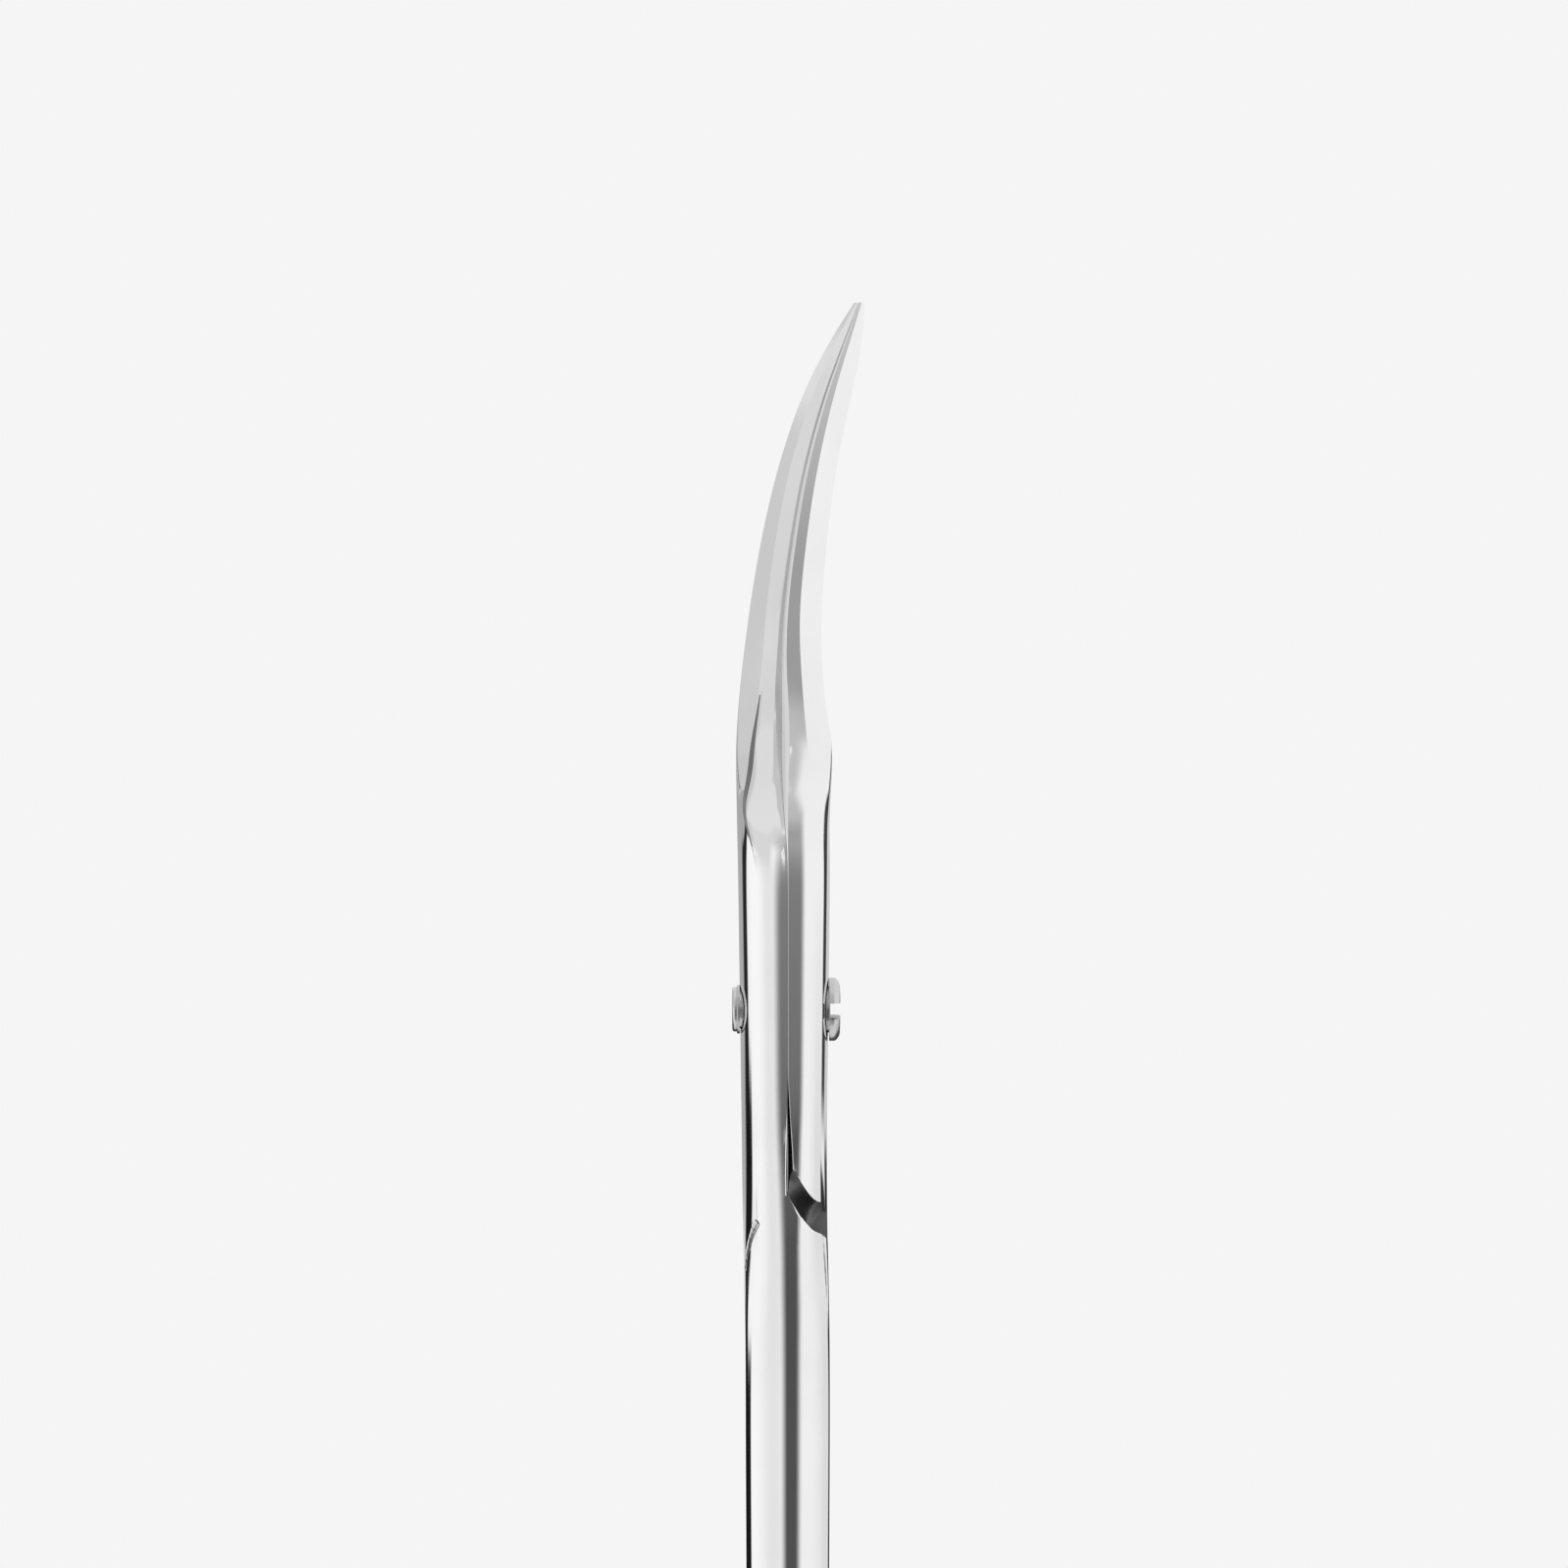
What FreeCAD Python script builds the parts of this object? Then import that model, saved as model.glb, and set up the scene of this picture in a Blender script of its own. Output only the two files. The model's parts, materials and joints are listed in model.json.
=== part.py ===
"""Curved-tip cuticle scissors: forged halves that cross in a lap joint and turn on a riveted pivot screw.

The scissors lie flat and closed. +X runs along the blades to the tips, +Z is the pivot axis with the screw
head on top, and the blades curve up towards +Z. The origin is on the pivot axis, in the face of the
riveted end.
"""

import FreeCAD, Part
import os

import Sketcher
from FreeCAD import Vector

# Driving dimensions, in millimetres
SIZES = {
    # Reaches along X from the pivot axis, and the straight stretch of the joint
    "blade_reach": 36.25,
    "handle_reach": 75.75,
    "joint_front": 7.5,
    "joint_back": 7.0,
    "joint_width": 6.8,
    # Thickness of each half at the pivot, of a blade at its root, and how far the tips curve up
    "lower_plate": 2.45,
    "upper_plate": 2.1,
    "lower_blade": 2.32,
    "upper_blade": 2.58,
    "spine_flat": 0.62,
    "tip_lift": 3.6,
    "face_gap": 0.05,
    # Shoulders of the lap joint: where the step wall starts, and its room to the half that crosses there
    "shoulder_reach": 9.5,
    "shoulder_gap": 1.5,
    # Shanks
    "shank_start": 17.0,
    "shank_width": 3.6,
    "shank_depth": 4.3,
    "shank_gap": 0.7,
    # Finger rings
    "ring_bore": 20.0,
    "ring_wall": 3.0,
    "ring_depth": 4.4,
    "ring_gap": 0.7,
    # Pivot screw, its riveted end and the washer under that end
    "head_width": 3.25,
    "head_depth": 0.6,
    "head_bevel": 0.2,
    "slot_width": 0.65,
    "slot_depth": 0.5,
    "bearing_width": 2.4,
    "thread_width": 2.0,
    "rivet_width": 2.3,
    "rivet_depth": 0.25,
    "rivet_bevel": 0.1,
    "washer_width": 2.5,
    "washer_depth": 0.15,
    "running_gap": 0.02,
    # How far cutting shapes run past what they cut
    "overrun": 2.0,
}

# Blade stations from the joint to the tip: place along the blade, reach of the spine and of the cutting edge
# from the midline, depth, how much of the joint's own thickness is left, lift of the contact face, roundness
BLADE_SHARES = [
    (0.000, 1.000, 1.000, 1.000, 1.00, 0.000, 1.00),
    (0.071, 0.965, 0.870, 1.000, 0.50, -0.045, 0.90),
    (0.141, 0.870, 0.560, 1.000, 0.00, -0.085, 0.62),
    (0.210, 0.755, 0.300, 0.995, 0.00, -0.097, 0.38),
    (0.280, 0.660, 0.190, 0.935, 0.00, -0.100, 0.20),
    (0.350, 0.585, 0.150, 0.860, 0.00, -0.092, 0.08),
    (0.419, 0.530, 0.135, 0.793, 0.00, -0.065, 0.03),
    (0.489, 0.490, 0.125, 0.752, 0.00, -0.018, 0.00),
    (0.591, 0.440, 0.118, 0.697, 0.00, 0.092, 0.00),
    (0.697, 0.375, 0.108, 0.627, 0.00, 0.240, 0.00),
    (0.800, 0.305, 0.095, 0.551, 0.00, 0.455, 0.00),
    (0.871, 0.245, 0.080, 0.470, 0.00, 0.640, 0.00),
    (0.941, 0.170, 0.060, 0.320, 0.00, 0.850, 0.00),
    (1.000, 0.095, 0.025, 0.100, 0.00, 1.020, 0.00),
]
# Where the contact face would run on past the tip: place along the blade and lift
PAST_TIP_SHARES = (1.060, 1.260)

# Places along the straight stretch of the joint, where its section stays the same
JOINT_SHARES = (0.2, 0.4, 0.6, 0.8)

# Crossing stations from the joint to the shank: place, and how far the inner and outer edges have crossed
CROSSING_SHARES = [
    (0.25, 0.03, 0.10),
    (0.50, 0.32, 0.35),
    (0.75, 0.88, 0.70),
    (1.00, 1.00, 1.00),
]

# Shank stations from the crossing to the finger ring: place, drift towards the ring, width and depth
SHANK_SHARES = [
    (0.136, 0.010, 0.985, 1.00),
    (0.354, 0.060, 0.955, 0.98),
    (0.572, 0.165, 0.930, 0.96),
    (0.736, 0.330, 0.930, 0.95),
    (0.845, 0.500, 1.030, 0.94),
    (0.899, 0.700, 1.320, 0.93),
    (0.940, 0.935, 1.750, 0.90),
    (0.995, 0.900, 1.500, 0.86),
    (1.035, 0.770, 0.950, 0.80),
]
# Where the shank runs into the ring, as the cosine and sine of the angle at the ring's centre
ATTACH_SHARES = (0.788, 0.616)

# Rounded section: reach of a rounded edge as a share of the width, and how full its curve is
JOINT_ROUND_SHARE = 0.25
SHANK_ROUND_SHARE = 0.44
FULLNESS_SHARE = 0.60
# Ground section of a blade: crease between the two outer facets, and the ends of the ridge
CREASE_SHARES = (0.776, 0.53)
RIDGE_SHARES = (0.46, 0.41)
# Step walls: how far they run back for each unit across, and for each unit of height
SLANT_SHARE = 1.61
LEAN_SHARE = 1.18
# Corner radius of a ring's section, as a share of its wall
RING_ROUND_SHARE = 0.45

LEVEL = "sizes.rivet_depth + sizes.washer_depth + sizes.lower_plate"
HEAD_SEAT = f"{LEVEL} + sizes.upper_plate + sizes.running_gap"
RING_X = "sizes.ring_bore / 2 + sizes.ring_wall - sizes.handle_reach"
RING_ACROSS = "sizes.ring_bore / 2 + sizes.ring_wall + sizes.ring_gap / 2"


def make_sheet(doc):
    """Spreadsheet with one aliased cell for each driving dimension."""
    sheet = doc.addObject("Spreadsheet::Sheet", "sizes")
    for row, (name, value) in enumerate(SIZES.items(), start=1):
        sheet.set(f"A{row}", name)
        sheet.set(f"B{row}", str(value))
        sheet.setAlias(f"B{row}", name)
    doc.recompute()
    return sheet


def between(start, end, share):
    return start + (end - start) * share


def blend_points(first, second, share):
    """Points that lie the given share of the way from the first list to the second."""
    return [tuple(between(p, q, share) for p, q in zip(a, b)) for a, b in zip(first, second)]


def straight(start, end):
    return [tuple(between(p, q, step / 3) for p, q in zip(start, end)) for step in range(4)]


def split_curve(poles):
    """Both halves of a cubic curve, as poles."""
    rows = [list(poles)]
    while len(rows[-1]) > 1:
        last = rows[-1]
        rows.append(blend_points(last[:-1], last[1:], 0.5))
    return [row[0] for row in rows], [row[-1] for row in reversed(rows)]


def outer_side(width, depth, round_share, flat, roundness):
    """Poles of the five curves round one side of a section, from the cutting edge to the spine."""
    reach = width * round_share
    slack = reach * (1 - FULLNESS_SHARE)
    full = depth * FULLNESS_SHARE
    near_corner = [(width, 0), (width, full), (width - slack, depth), (width - reach, depth)]
    far_corner = [(reach, depth), (slack, depth), (0, full), (0, 0)]
    rounded = [
        *split_curve(near_corner),
        straight(near_corner[-1], far_corner[0]),
        *split_curve(far_corner),
    ]
    corners = [
        (width, 0),
        (width * CREASE_SHARES[0], depth * CREASE_SHARES[1]),
        (width * RIDGE_SHARES[0], depth),
        (width * RIDGE_SHARES[1], depth),
        (0, flat),
        (0, 0),
    ]
    ground = [straight(a, b) for a, b in zip(corners, corners[1:])]
    return [blend_points(g, r, roundness) for g, r in zip(ground, rounded)]


class Half:
    """One forged half. Side 1 is the lower half, with its shank at +Y, and side -1 the upper one.

    A point is given by its place along X, its reach across towards the half's own shank, and its depth from
    the contact face towards the half's own outer face.
    """

    def __init__(self, sheet, name, side):
        self.sheet = sheet
        self.name = name
        self.side = side
        self.level = sheet.evalExpression(LEVEL)
        own, other = ("lower", "upper") if side > 0 else ("upper", "lower")
        self.plate = sheet.getPropertyByName(f"{own}_plate")
        self.other_plate = sheet.getPropertyByName(f"{other}_plate")
        self.blade = sheet.getPropertyByName(f"{own}_blade")
        self.edge = sheet.joint_width / 2
        self.ring_x = sheet.evalExpression(RING_X)
        self.ring_across = sheet.evalExpression(RING_ACROSS)

    def point(self, x, across, depth, lift=0):
        return Vector(x, self.side * across, self.level + lift - self.side * depth)

    def section(self, x, inner, outer, depth, other_depth, round_share, roundness=1, lift=0):
        """Closed section across the half, from its inner to its outer reach."""
        flat = min(self.sheet.spine_flat, depth * CREASE_SHARES[1])
        kept = outer_side(outer - inner, depth, round_share, flat, roundness)
        other = outer_side(outer - inner, other_depth, round_share, flat, roundness)
        sides = kept + [[(a, -d) for a, d in reversed(poles)] for poles in reversed(other)]
        edges = []
        for poles in sides:
            curve = Part.BezierCurve()
            curve.setPoles([self.point(x, inner + a, d, lift) for a, d in poles])
            edges.append(curve.toShape())
        return Part.Wire(edges)

    def blade_x(self, share):
        return between(self.sheet.joint_front, self.sheet.blade_reach, share)

    def blade_sections(self):
        wires = []
        for place, spine, edge, depth_share, plate_share, lift, roundness in reversed(BLADE_SHARES):
            ground = self.blade * depth_share
            depth = between(ground, self.plate, plate_share)
            other_depth = between(ground, self.other_plate, plate_share)
            wires.append(
                self.section(
                    self.blade_x(place), -self.edge * spine, self.edge * edge, depth, other_depth,
                    JOINT_ROUND_SHARE, roundness, self.sheet.tip_lift * lift,
                )
            )
        return wires

    def handle_sections(self):
        sheet = self.sheet
        half_depth = sheet.shank_depth / 2
        inner_end = sheet.shank_gap / 2
        outer_end = inner_end + sheet.shank_width
        wires = []
        for place in (*JOINT_SHARES, 1):
            wires.append(
                self.section(
                    between(sheet.joint_front, -sheet.joint_back, place), -self.edge, self.edge,
                    self.plate, self.other_plate, JOINT_ROUND_SHARE,
                )
            )
        for place, inner, outer in CROSSING_SHARES:
            wires.append(
                self.section(
                    -between(sheet.joint_back, sheet.shank_start, place),
                    between(-self.edge, inner_end, inner),
                    between(self.edge, outer_end, outer),
                    between(self.plate, half_depth, outer),
                    between(self.other_plate, half_depth, outer),
                    between(JOINT_ROUND_SHARE, SHANK_ROUND_SHARE, outer),
                )
            )
        middle_reach = sheet.ring_bore / 2 + sheet.ring_wall / 2
        attach_x = self.ring_x + middle_reach * ATTACH_SHARES[0]
        attach_across = self.ring_across - middle_reach * ATTACH_SHARES[1]
        for place, drift, width, depth in SHANK_SHARES:
            middle = between((inner_end + outer_end) / 2, attach_across, drift)
            reach = sheet.shank_width / 2 * width
            wires.append(
                self.section(
                    between(-sheet.shank_start, attach_x, place), middle - reach, middle + reach,
                    half_depth * depth, half_depth * depth, SHANK_ROUND_SHARE,
                )
            )
        return wires

    def blank(self):
        """Full-thickness blank from the tip to inside the wall of the finger ring."""
        return Part.makeLoft(self.blade_sections() + self.handle_sections(), True, False)

    def lap_cut(self):
        """All that lies beyond the contact face, from the middle of the joint to past the tip."""
        sheet = self.sheet
        gap = sheet.face_gap / 2
        across = -(self.edge + sheet.overrun)
        far = -(self.blade + sheet.tip_lift + sheet.overrun)
        rows = [(row[0], row[5]) for row in BLADE_SHARES] + [PAST_TIP_SHARES]
        points = [
            self.point(self.blade_x(place), across, gap, sheet.tip_lift * lift) for place, lift in rows
        ]
        curve = Part.BSplineCurve()
        curve.interpolate(
            Points=points, InitialTangent=Vector(1, 0, 0), FinalTangent=points[-1] - points[-2]
        )
        back = -sheet.joint_back / 2
        corners = [
            curve.EndPoint,
            self.point(curve.EndPoint.x, across, far),
            self.point(back, across, far),
            self.point(back, across, gap),
            curve.StartPoint,
        ]
        sides = [Part.LineSegment(a, b).toShape() for a, b in zip(corners, corners[1:])]
        face = Part.Face(Part.Wire([curve.toShape(), *sides]))
        return face.extrude(Vector(0, -2 * self.side * across, 0))

    def ruled_block(self, corners_at, low, high):
        """Block between two depths, with corners that move as the depth does."""
        wires = []
        for depth in (low, high):
            corners = [self.point(x, across, depth) for x, across in corners_at(depth)]
            wires.append(Part.makePolygon([*corners, corners[0]]))
        return Part.makeLoft(wires, True, True)

    def step_cut(self):
        """Pocket that takes the other half where it crosses, up to the leaning step wall."""
        sheet = self.sheet
        wide = self.edge + sheet.overrun

        def wall(across, depth):
            return -sheet.shoulder_reach - SLANT_SHARE * (self.edge - across) + LEAN_SHARE * depth

        def corners_at(depth):
            return [(wall(wide, depth), wide), (wall(-wide, depth), -wide), (0, -wide), (0, wide)]

        return self.ruled_block(corners_at, sheet.face_gap / 2, -(sheet.shank_depth + sheet.overrun))

    def back_cut(self):
        """Wedge off the back edge, which leaves room to the other half's step wall."""
        sheet = self.sheet
        wide = self.edge + sheet.overrun
        far = -(sheet.shank_start + sheet.handle_reach / 2)

        def wall(across, depth):
            start = sheet.shoulder_reach - sheet.shoulder_gap
            return -start - SLANT_SHARE * (self.edge + across) - LEAN_SHARE * depth

        def corners_at(depth):
            return [(wall(-wide, depth), -wide), (wall(0, depth), 0), (far, 0), (far, -wide)]

        return self.ruled_block(corners_at, 0, sheet.shank_depth + sheet.overrun)


def find_plane(body, role):
    return next(feature for feature in body.Origin.OriginFeatures if feature.Role == role)


def add_sketch(body, name, role, offset="0"):
    """Sketch on one of the body's own planes, raised by an expression."""
    sketch = body.newObject("Sketcher::SketchObject", name)
    sketch.AttachmentSupport = [(find_plane(body, role), "")]
    sketch.MapMode = "FlatFace"
    sketch.setExpression("AttachmentOffset.Base.z", offset)
    return sketch


def pin_point(sketch, geometry, end, across, up):
    """Hold a point of the sketch by expressions for its two distances from the origin."""
    for kind, axis, expression in (("DistanceX", -2, across), ("DistanceY", -1, up)):
        if expression == "0":
            sketch.addConstraint(Sketcher.Constraint("PointOnObject", geometry, end, axis))
            continue
        value = sketch.evalExpression(expression)
        index = sketch.addConstraint(Sketcher.Constraint(kind, -1, 1, geometry, end, value))
        sketch.setExpression(f"Constraints[{index}]", expression)


def add_profile(sketch, corners):
    """Closed profile of straight lines, each corner held by expressions."""
    values = [tuple(sketch.evalExpression(part) for part in corner) for corner in corners]
    points = [Vector(across, up, 0) for across, up in values]
    for start, end in zip(points, points[1:] + points[:1]):
        sketch.addGeometry(Part.LineSegment(start, end))
    count = len(points)
    for index in range(count):
        sketch.addConstraint(Sketcher.Constraint("Coincident", index, 2, (index + 1) % count, 1))
    for index, (across, up) in enumerate(corners):
        pin_point(sketch, index, 1, across, up)


def add_circle(sketch, width):
    """Circle about the origin whose diameter is an expression."""
    radius = sketch.evalExpression(width) / 2
    index = sketch.addGeometry(Part.Circle(Vector(0, 0, 0), Vector(0, 0, 1), radius))
    sketch.addConstraint(Sketcher.Constraint("Coincident", index, 3, -1, 1))
    place = sketch.addConstraint(Sketcher.Constraint("Diameter", index, 2 * radius))
    sketch.setExpression(f"Constraints[{place}]", width)


def add_revolution(body, sketch, name):
    turned = body.newObject("PartDesign::Revolution", name)
    turned.Profile = sketch
    turned.ReferenceAxis = (sketch, ["V_Axis"])
    turned.Angle = 360
    return turned


def make_ring(doc, half):
    """Finger ring: a rounded section turned about the ring's own axis, with a short land in its bore."""
    body = doc.addObject("PartDesign::Body", f"{half.name}_ring")
    inner = "sizes.ring_bore / 2"
    outer = f"{inner} + sizes.ring_wall"
    top = "sizes.ring_depth / 2"
    radius = f"sizes.ring_wall * {RING_ROUND_SHARE}"
    sketch = add_sketch(body, f"{half.name}_ring_section", "XZ_Plane")
    add_profile(sketch, [(inner, f"-{top}"), (outer, f"-{top}"), (outer, top), (inner, top)])
    turned = add_revolution(body, sketch, f"{half.name}_ring_turned")
    doc.recompute()
    edges = enumerate(turned.Shape.Edges, start=1)
    round_edges = [f"Edge{number}" for number, edge in edges if len(edge.Vertexes) == 1]
    fillet = body.newObject("PartDesign::Fillet", f"{half.name}_ring_rounded")
    fillet.Base = (turned, round_edges)
    fillet.setExpression("Radius", radius)
    body.setExpression("Placement.Base.x", RING_X)
    body.setExpression("Placement.Base.y", f"{half.side} * ({RING_ACROSS})")
    body.setExpression("Placement.Base.z", LEVEL)
    return body


def add_feature(doc, name, shape):
    feature = doc.addObject("Part::Feature", name)
    feature.Shape = shape
    return feature


def add_cut(doc, name, base, tool):
    cut = doc.addObject("Part::Cut", name)
    cut.Base = base
    cut.Tool = tool
    return cut


def make_half(doc, sheet, name, side, hole_width):
    """One half: the blank and its ring joined, less the lap, the shoulders and the pivot hole."""
    half = Half(sheet, name, side)
    blank = add_feature(doc, f"{name}_blank", half.blank())
    finger_room = doc.addObject("Part::Cylinder", f"{name}_finger_room")
    finger_room.setExpression("Radius", "sizes.ring_bore / 2 + sizes.ring_wall / 2")
    finger_room.setExpression("Height", "2 * sizes.ring_depth")
    finger_room.setExpression("Placement.Base.x", RING_X)
    finger_room.setExpression("Placement.Base.y", f"{side} * ({RING_ACROSS})")
    finger_room.setExpression("Placement.Base.z", f"{LEVEL} - sizes.ring_depth")
    handle = add_cut(doc, f"{name}_handle", blank, finger_room)
    whole = doc.addObject("Part::Fuse", f"{name}_whole")
    whole.Base = handle
    whole.Tool = make_ring(doc, half)
    lap = add_feature(doc, f"{name}_lap_cut", half.lap_cut())
    lapped = add_cut(doc, f"{name}_lapped", whole, lap)
    step = add_feature(doc, f"{name}_step_cut", half.step_cut())
    stepped = add_cut(doc, f"{name}_stepped", lapped, step)
    back = add_feature(doc, f"{name}_back_cut", half.back_cut())
    backed = add_cut(doc, f"{name}_backed", stepped, back)
    hole = doc.addObject("Part::Cylinder", f"{name}_hole")
    hole.setExpression("Radius", f"{hole_width} / 2 + sizes.running_gap")
    hole.setExpression("Height", f"{HEAD_SEAT} + sizes.overrun")
    finished = add_cut(doc, f"{name}_finished", backed, hole)
    finished.Label = name
    return finished


def make_screw(doc):
    """Pivot screw: slotted head, smooth bearing in the upper half, thread in the lower one, riveted end."""
    body = doc.addObject("PartDesign::Body", "pivot_screw")
    head_top = f"{HEAD_SEAT} + sizes.head_depth"
    bearing_seat = f"{LEVEL} - sizes.face_gap / 2"
    profile = add_sketch(body, "screw_profile", "XZ_Plane")
    add_profile(
        profile,
        [
            ("0", "0"),
            ("sizes.rivet_width / 2 - sizes.rivet_bevel", "0"),
            ("sizes.rivet_width / 2", "sizes.rivet_bevel"),
            ("sizes.rivet_width / 2", "sizes.rivet_depth"),
            ("sizes.thread_width / 2", "sizes.rivet_depth"),
            ("sizes.thread_width / 2", bearing_seat),
            ("sizes.bearing_width / 2", bearing_seat),
            ("sizes.bearing_width / 2", HEAD_SEAT),
            ("sizes.head_width / 2", HEAD_SEAT),
            ("sizes.head_width / 2", f"{head_top} - sizes.head_bevel"),
            ("sizes.head_width / 2 - sizes.head_bevel", head_top),
            ("0", head_top),
        ],
    )
    add_revolution(body, profile, "screw_turned")
    doc.recompute()
    slot = add_sketch(body, "slot_outline", "XY_Plane", head_top)
    sides = ("sizes.slot_width / 2", "sizes.head_width")
    add_profile(
        slot,
        [
            (f"-{sides[0]}", f"-{sides[1]}"),
            (sides[0], f"-{sides[1]}"),
            sides,
            (f"-{sides[0]}", sides[1]),
        ],
    )
    pocket = body.newObject("PartDesign::Pocket", "slot_cut")
    pocket.Profile = slot
    pocket.setExpression("Length", "sizes.slot_depth")
    return body


def make_washer(doc):
    """Thin washer under the riveted end."""
    body = doc.addObject("PartDesign::Body", "rivet_washer")
    outline = add_sketch(body, "washer_outline", "XY_Plane", "sizes.rivet_depth")
    add_circle(outline, "sizes.washer_width")
    add_circle(outline, "sizes.thread_width + 2 * sizes.running_gap")
    pad = body.newObject("PartDesign::Pad", "washer_pad")
    pad.Profile = outline
    pad.setExpression("Length", "sizes.washer_depth")
    return body


def check_and_write(doc, pieces):
    """Stop if anything failed to build, then write each piece to its own file."""
    for thing in doc.Objects:
        if "Invalid" in thing.State or "Error" in thing.State:
            raise RuntimeError(f"{thing.Label} did not build: {thing.State}")
    for piece in pieces:
        if piece.Shape.isNull() or not piece.Shape.isValid() or len(piece.Shape.Solids) != 1:
            raise RuntimeError(f"{piece.Label} is not one valid solid")
    os.makedirs("parts", exist_ok=True)
    for piece in pieces:
        piece.Shape.exportStep(f"parts/{piece.Label}.step")
        print(f"{piece.Label}: {piece.Shape.Volume:.2f} mm3")


def main():
    doc = FreeCAD.newDocument("cuticle_scissors")
    sheet = make_sheet(doc)
    pieces = [
        make_half(doc, sheet, "lower_half", 1, "sizes.thread_width"),
        make_half(doc, sheet, "upper_half", -1, "sizes.bearing_width"),
        make_screw(doc),
        make_washer(doc),
    ]
    doc.recompute()
    check_and_write(doc, pieces)


main()
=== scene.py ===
"""Polished cuticle scissors with curved tips, in a plain pale studio.

The scissors lie closed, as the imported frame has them: +X runs along the blades to the tips, +Z is the pivot
axis with the screw head on top. Lengths are in metres.
"""

import json
import math
from collections import namedtuple

import bmesh
import bpy
import numpy as np
from mathutils import Matrix, Vector


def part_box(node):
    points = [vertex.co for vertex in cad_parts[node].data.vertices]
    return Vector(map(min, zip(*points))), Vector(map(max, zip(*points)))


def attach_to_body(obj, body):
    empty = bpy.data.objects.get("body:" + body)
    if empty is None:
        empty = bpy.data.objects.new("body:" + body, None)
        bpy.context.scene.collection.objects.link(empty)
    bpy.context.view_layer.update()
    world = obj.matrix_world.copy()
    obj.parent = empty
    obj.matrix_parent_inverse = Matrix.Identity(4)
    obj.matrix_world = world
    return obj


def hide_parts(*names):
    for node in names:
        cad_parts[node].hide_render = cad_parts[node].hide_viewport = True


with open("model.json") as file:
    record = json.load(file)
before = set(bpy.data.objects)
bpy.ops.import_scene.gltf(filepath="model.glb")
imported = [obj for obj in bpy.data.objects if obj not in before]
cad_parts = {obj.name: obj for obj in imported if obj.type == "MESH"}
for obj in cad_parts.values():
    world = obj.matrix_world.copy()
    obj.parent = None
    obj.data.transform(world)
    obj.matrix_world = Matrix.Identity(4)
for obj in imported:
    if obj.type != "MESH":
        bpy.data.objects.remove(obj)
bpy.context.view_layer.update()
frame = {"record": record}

MM = 0.001

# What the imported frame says
MOUNTS = {mount["name"]: mount for mount in frame["record"]["mounts"]}
LOWER_LOW, LOWER_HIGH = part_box("lower_half")
SCREW_LOW, SCREW_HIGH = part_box("pivot_screw")
WASHER_LOW, WASHER_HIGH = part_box("rivet_washer")
RING_X, RING_ACROSS, LEVEL = MOUNTS["finger_ring_lower"]["pos_m"]
RING_BORE = 2 * MM * MOUNTS["finger_ring_lower"]["dims"]["r_mm"]
BLADE_REACH = LOWER_HIGH.x
HANDLE_REACH = -LOWER_LOW.x
RING_WALL = HANDLE_REACH + RING_X - RING_BORE / 2
HEAD_WIDTH = SCREW_HIGH.x - SCREW_LOW.x
HEAD_TOP = SCREW_HIGH.z
WASHER_WIDTH = WASHER_HIGH.x - WASHER_LOW.x

# Sizes of the halves
JOINT_FRONT = 7.5 * MM
JOINT_BACK = 7.0 * MM
JOINT_EDGE = 3.4 * MM
LOWER_PLATE = LEVEL - WASHER_HIGH.z
UPPER_PLATE = 2.1 * MM
LOWER_BLADE = 2.32 * MM
UPPER_BLADE = 2.58 * MM
SPINE_FLAT = 0.62 * MM
TIP_LIFT = 3.6 * MM
FACE_GAP = 0.05 * MM
SEAT_GAP = 0.01 * MM
HEEL_RELIEF = 0.29 * MM
EDGE_RELIEF = 0.09 * MM
RELIEF_START = 3.0 * MM
RELIEF_RUN = 5.5 * MM
RELIEF_WIDTH = 0.9 * MM
RELIEF_POWER = 1.3
SHOULDER_REACH = 9.45 * MM
SHOULDER_GAP = 1.82 * MM
SHANK_START = 17.0 * MM
SHANK_WIDTH = 3.05 * MM
SHANK_DEPTH = 4.3 * MM
SHANK_GAP = 0.7 * MM
RING_DEPTH = 4.4 * MM

# Sizes of the pivot screw and its washer
HEAD_CLEARANCE = 0.035 * MM
HEAD_FOOT_ROUND = 0.03 * MM
SLOT_WIDTH = 0.82 * MM
SLOT_TURN = math.radians(3.7)
SLOT_FLOOR = 0.05 * MM
BEARING_WIDTH = 2.4 * MM
THREAD_WIDTH = 2.0 * MM
RIVET_WIDTH = 2.3 * MM
RIVET_DEPTH = 0.25 * MM
RUNNING_GAP = 0.02 * MM
SCREW_RIM = 0.025 * MM
SCREW_RIM_STEPS = 2
SCREW_RIM_ANGLE = math.radians(40)
WASHER_RIM = 0.04 * MM
# Corners of the riveted end and of the head, from the inside out: inset from the rim, depth below the outer
# face and rounding, in millimetres
RIVET_CORNERS = [(0.23, 0.006, 0.10), (0.06, 0.025, 0.04), (0.00, 0.100, 0.04)]
HEAD_CORNERS = [(0.89375, 0.010, 0.30), (0.27, 0.050, 0.16), (0.00, 0.270, 0.10)]
ROUNDING_STEPS = 4

# Softened edges
SPINE_RIM = 0.02 * MM
RELIEVED_RIM = 0.05 * MM
EDGE_RIM = 0.05 * MM
EDGE_LEAN_SHARES = (0.12, 1.0)
WALL_RIM = 0.20 * MM
WALL_BLEND = 0.10 * MM
# Most that a softened edge takes of a contact face, and of a step wall
FACE_RIM_SHARE = 0.4
WALL_RIM_SHARE = 0.3
# Step where the edge facet of a blade starts, at the root
GRIND_STEP = 0.20 * MM
RISER_RUN = 0.012 * MM
# Relief and step from which a surface keeps its dark forged finish, which paints the shade in the relieved gap
# between the halves and at the riser of the blade root
LEAST_RELIEF = EDGE_RELIEF / 50
LEAST_STEP = GRIND_STEP / 40

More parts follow.
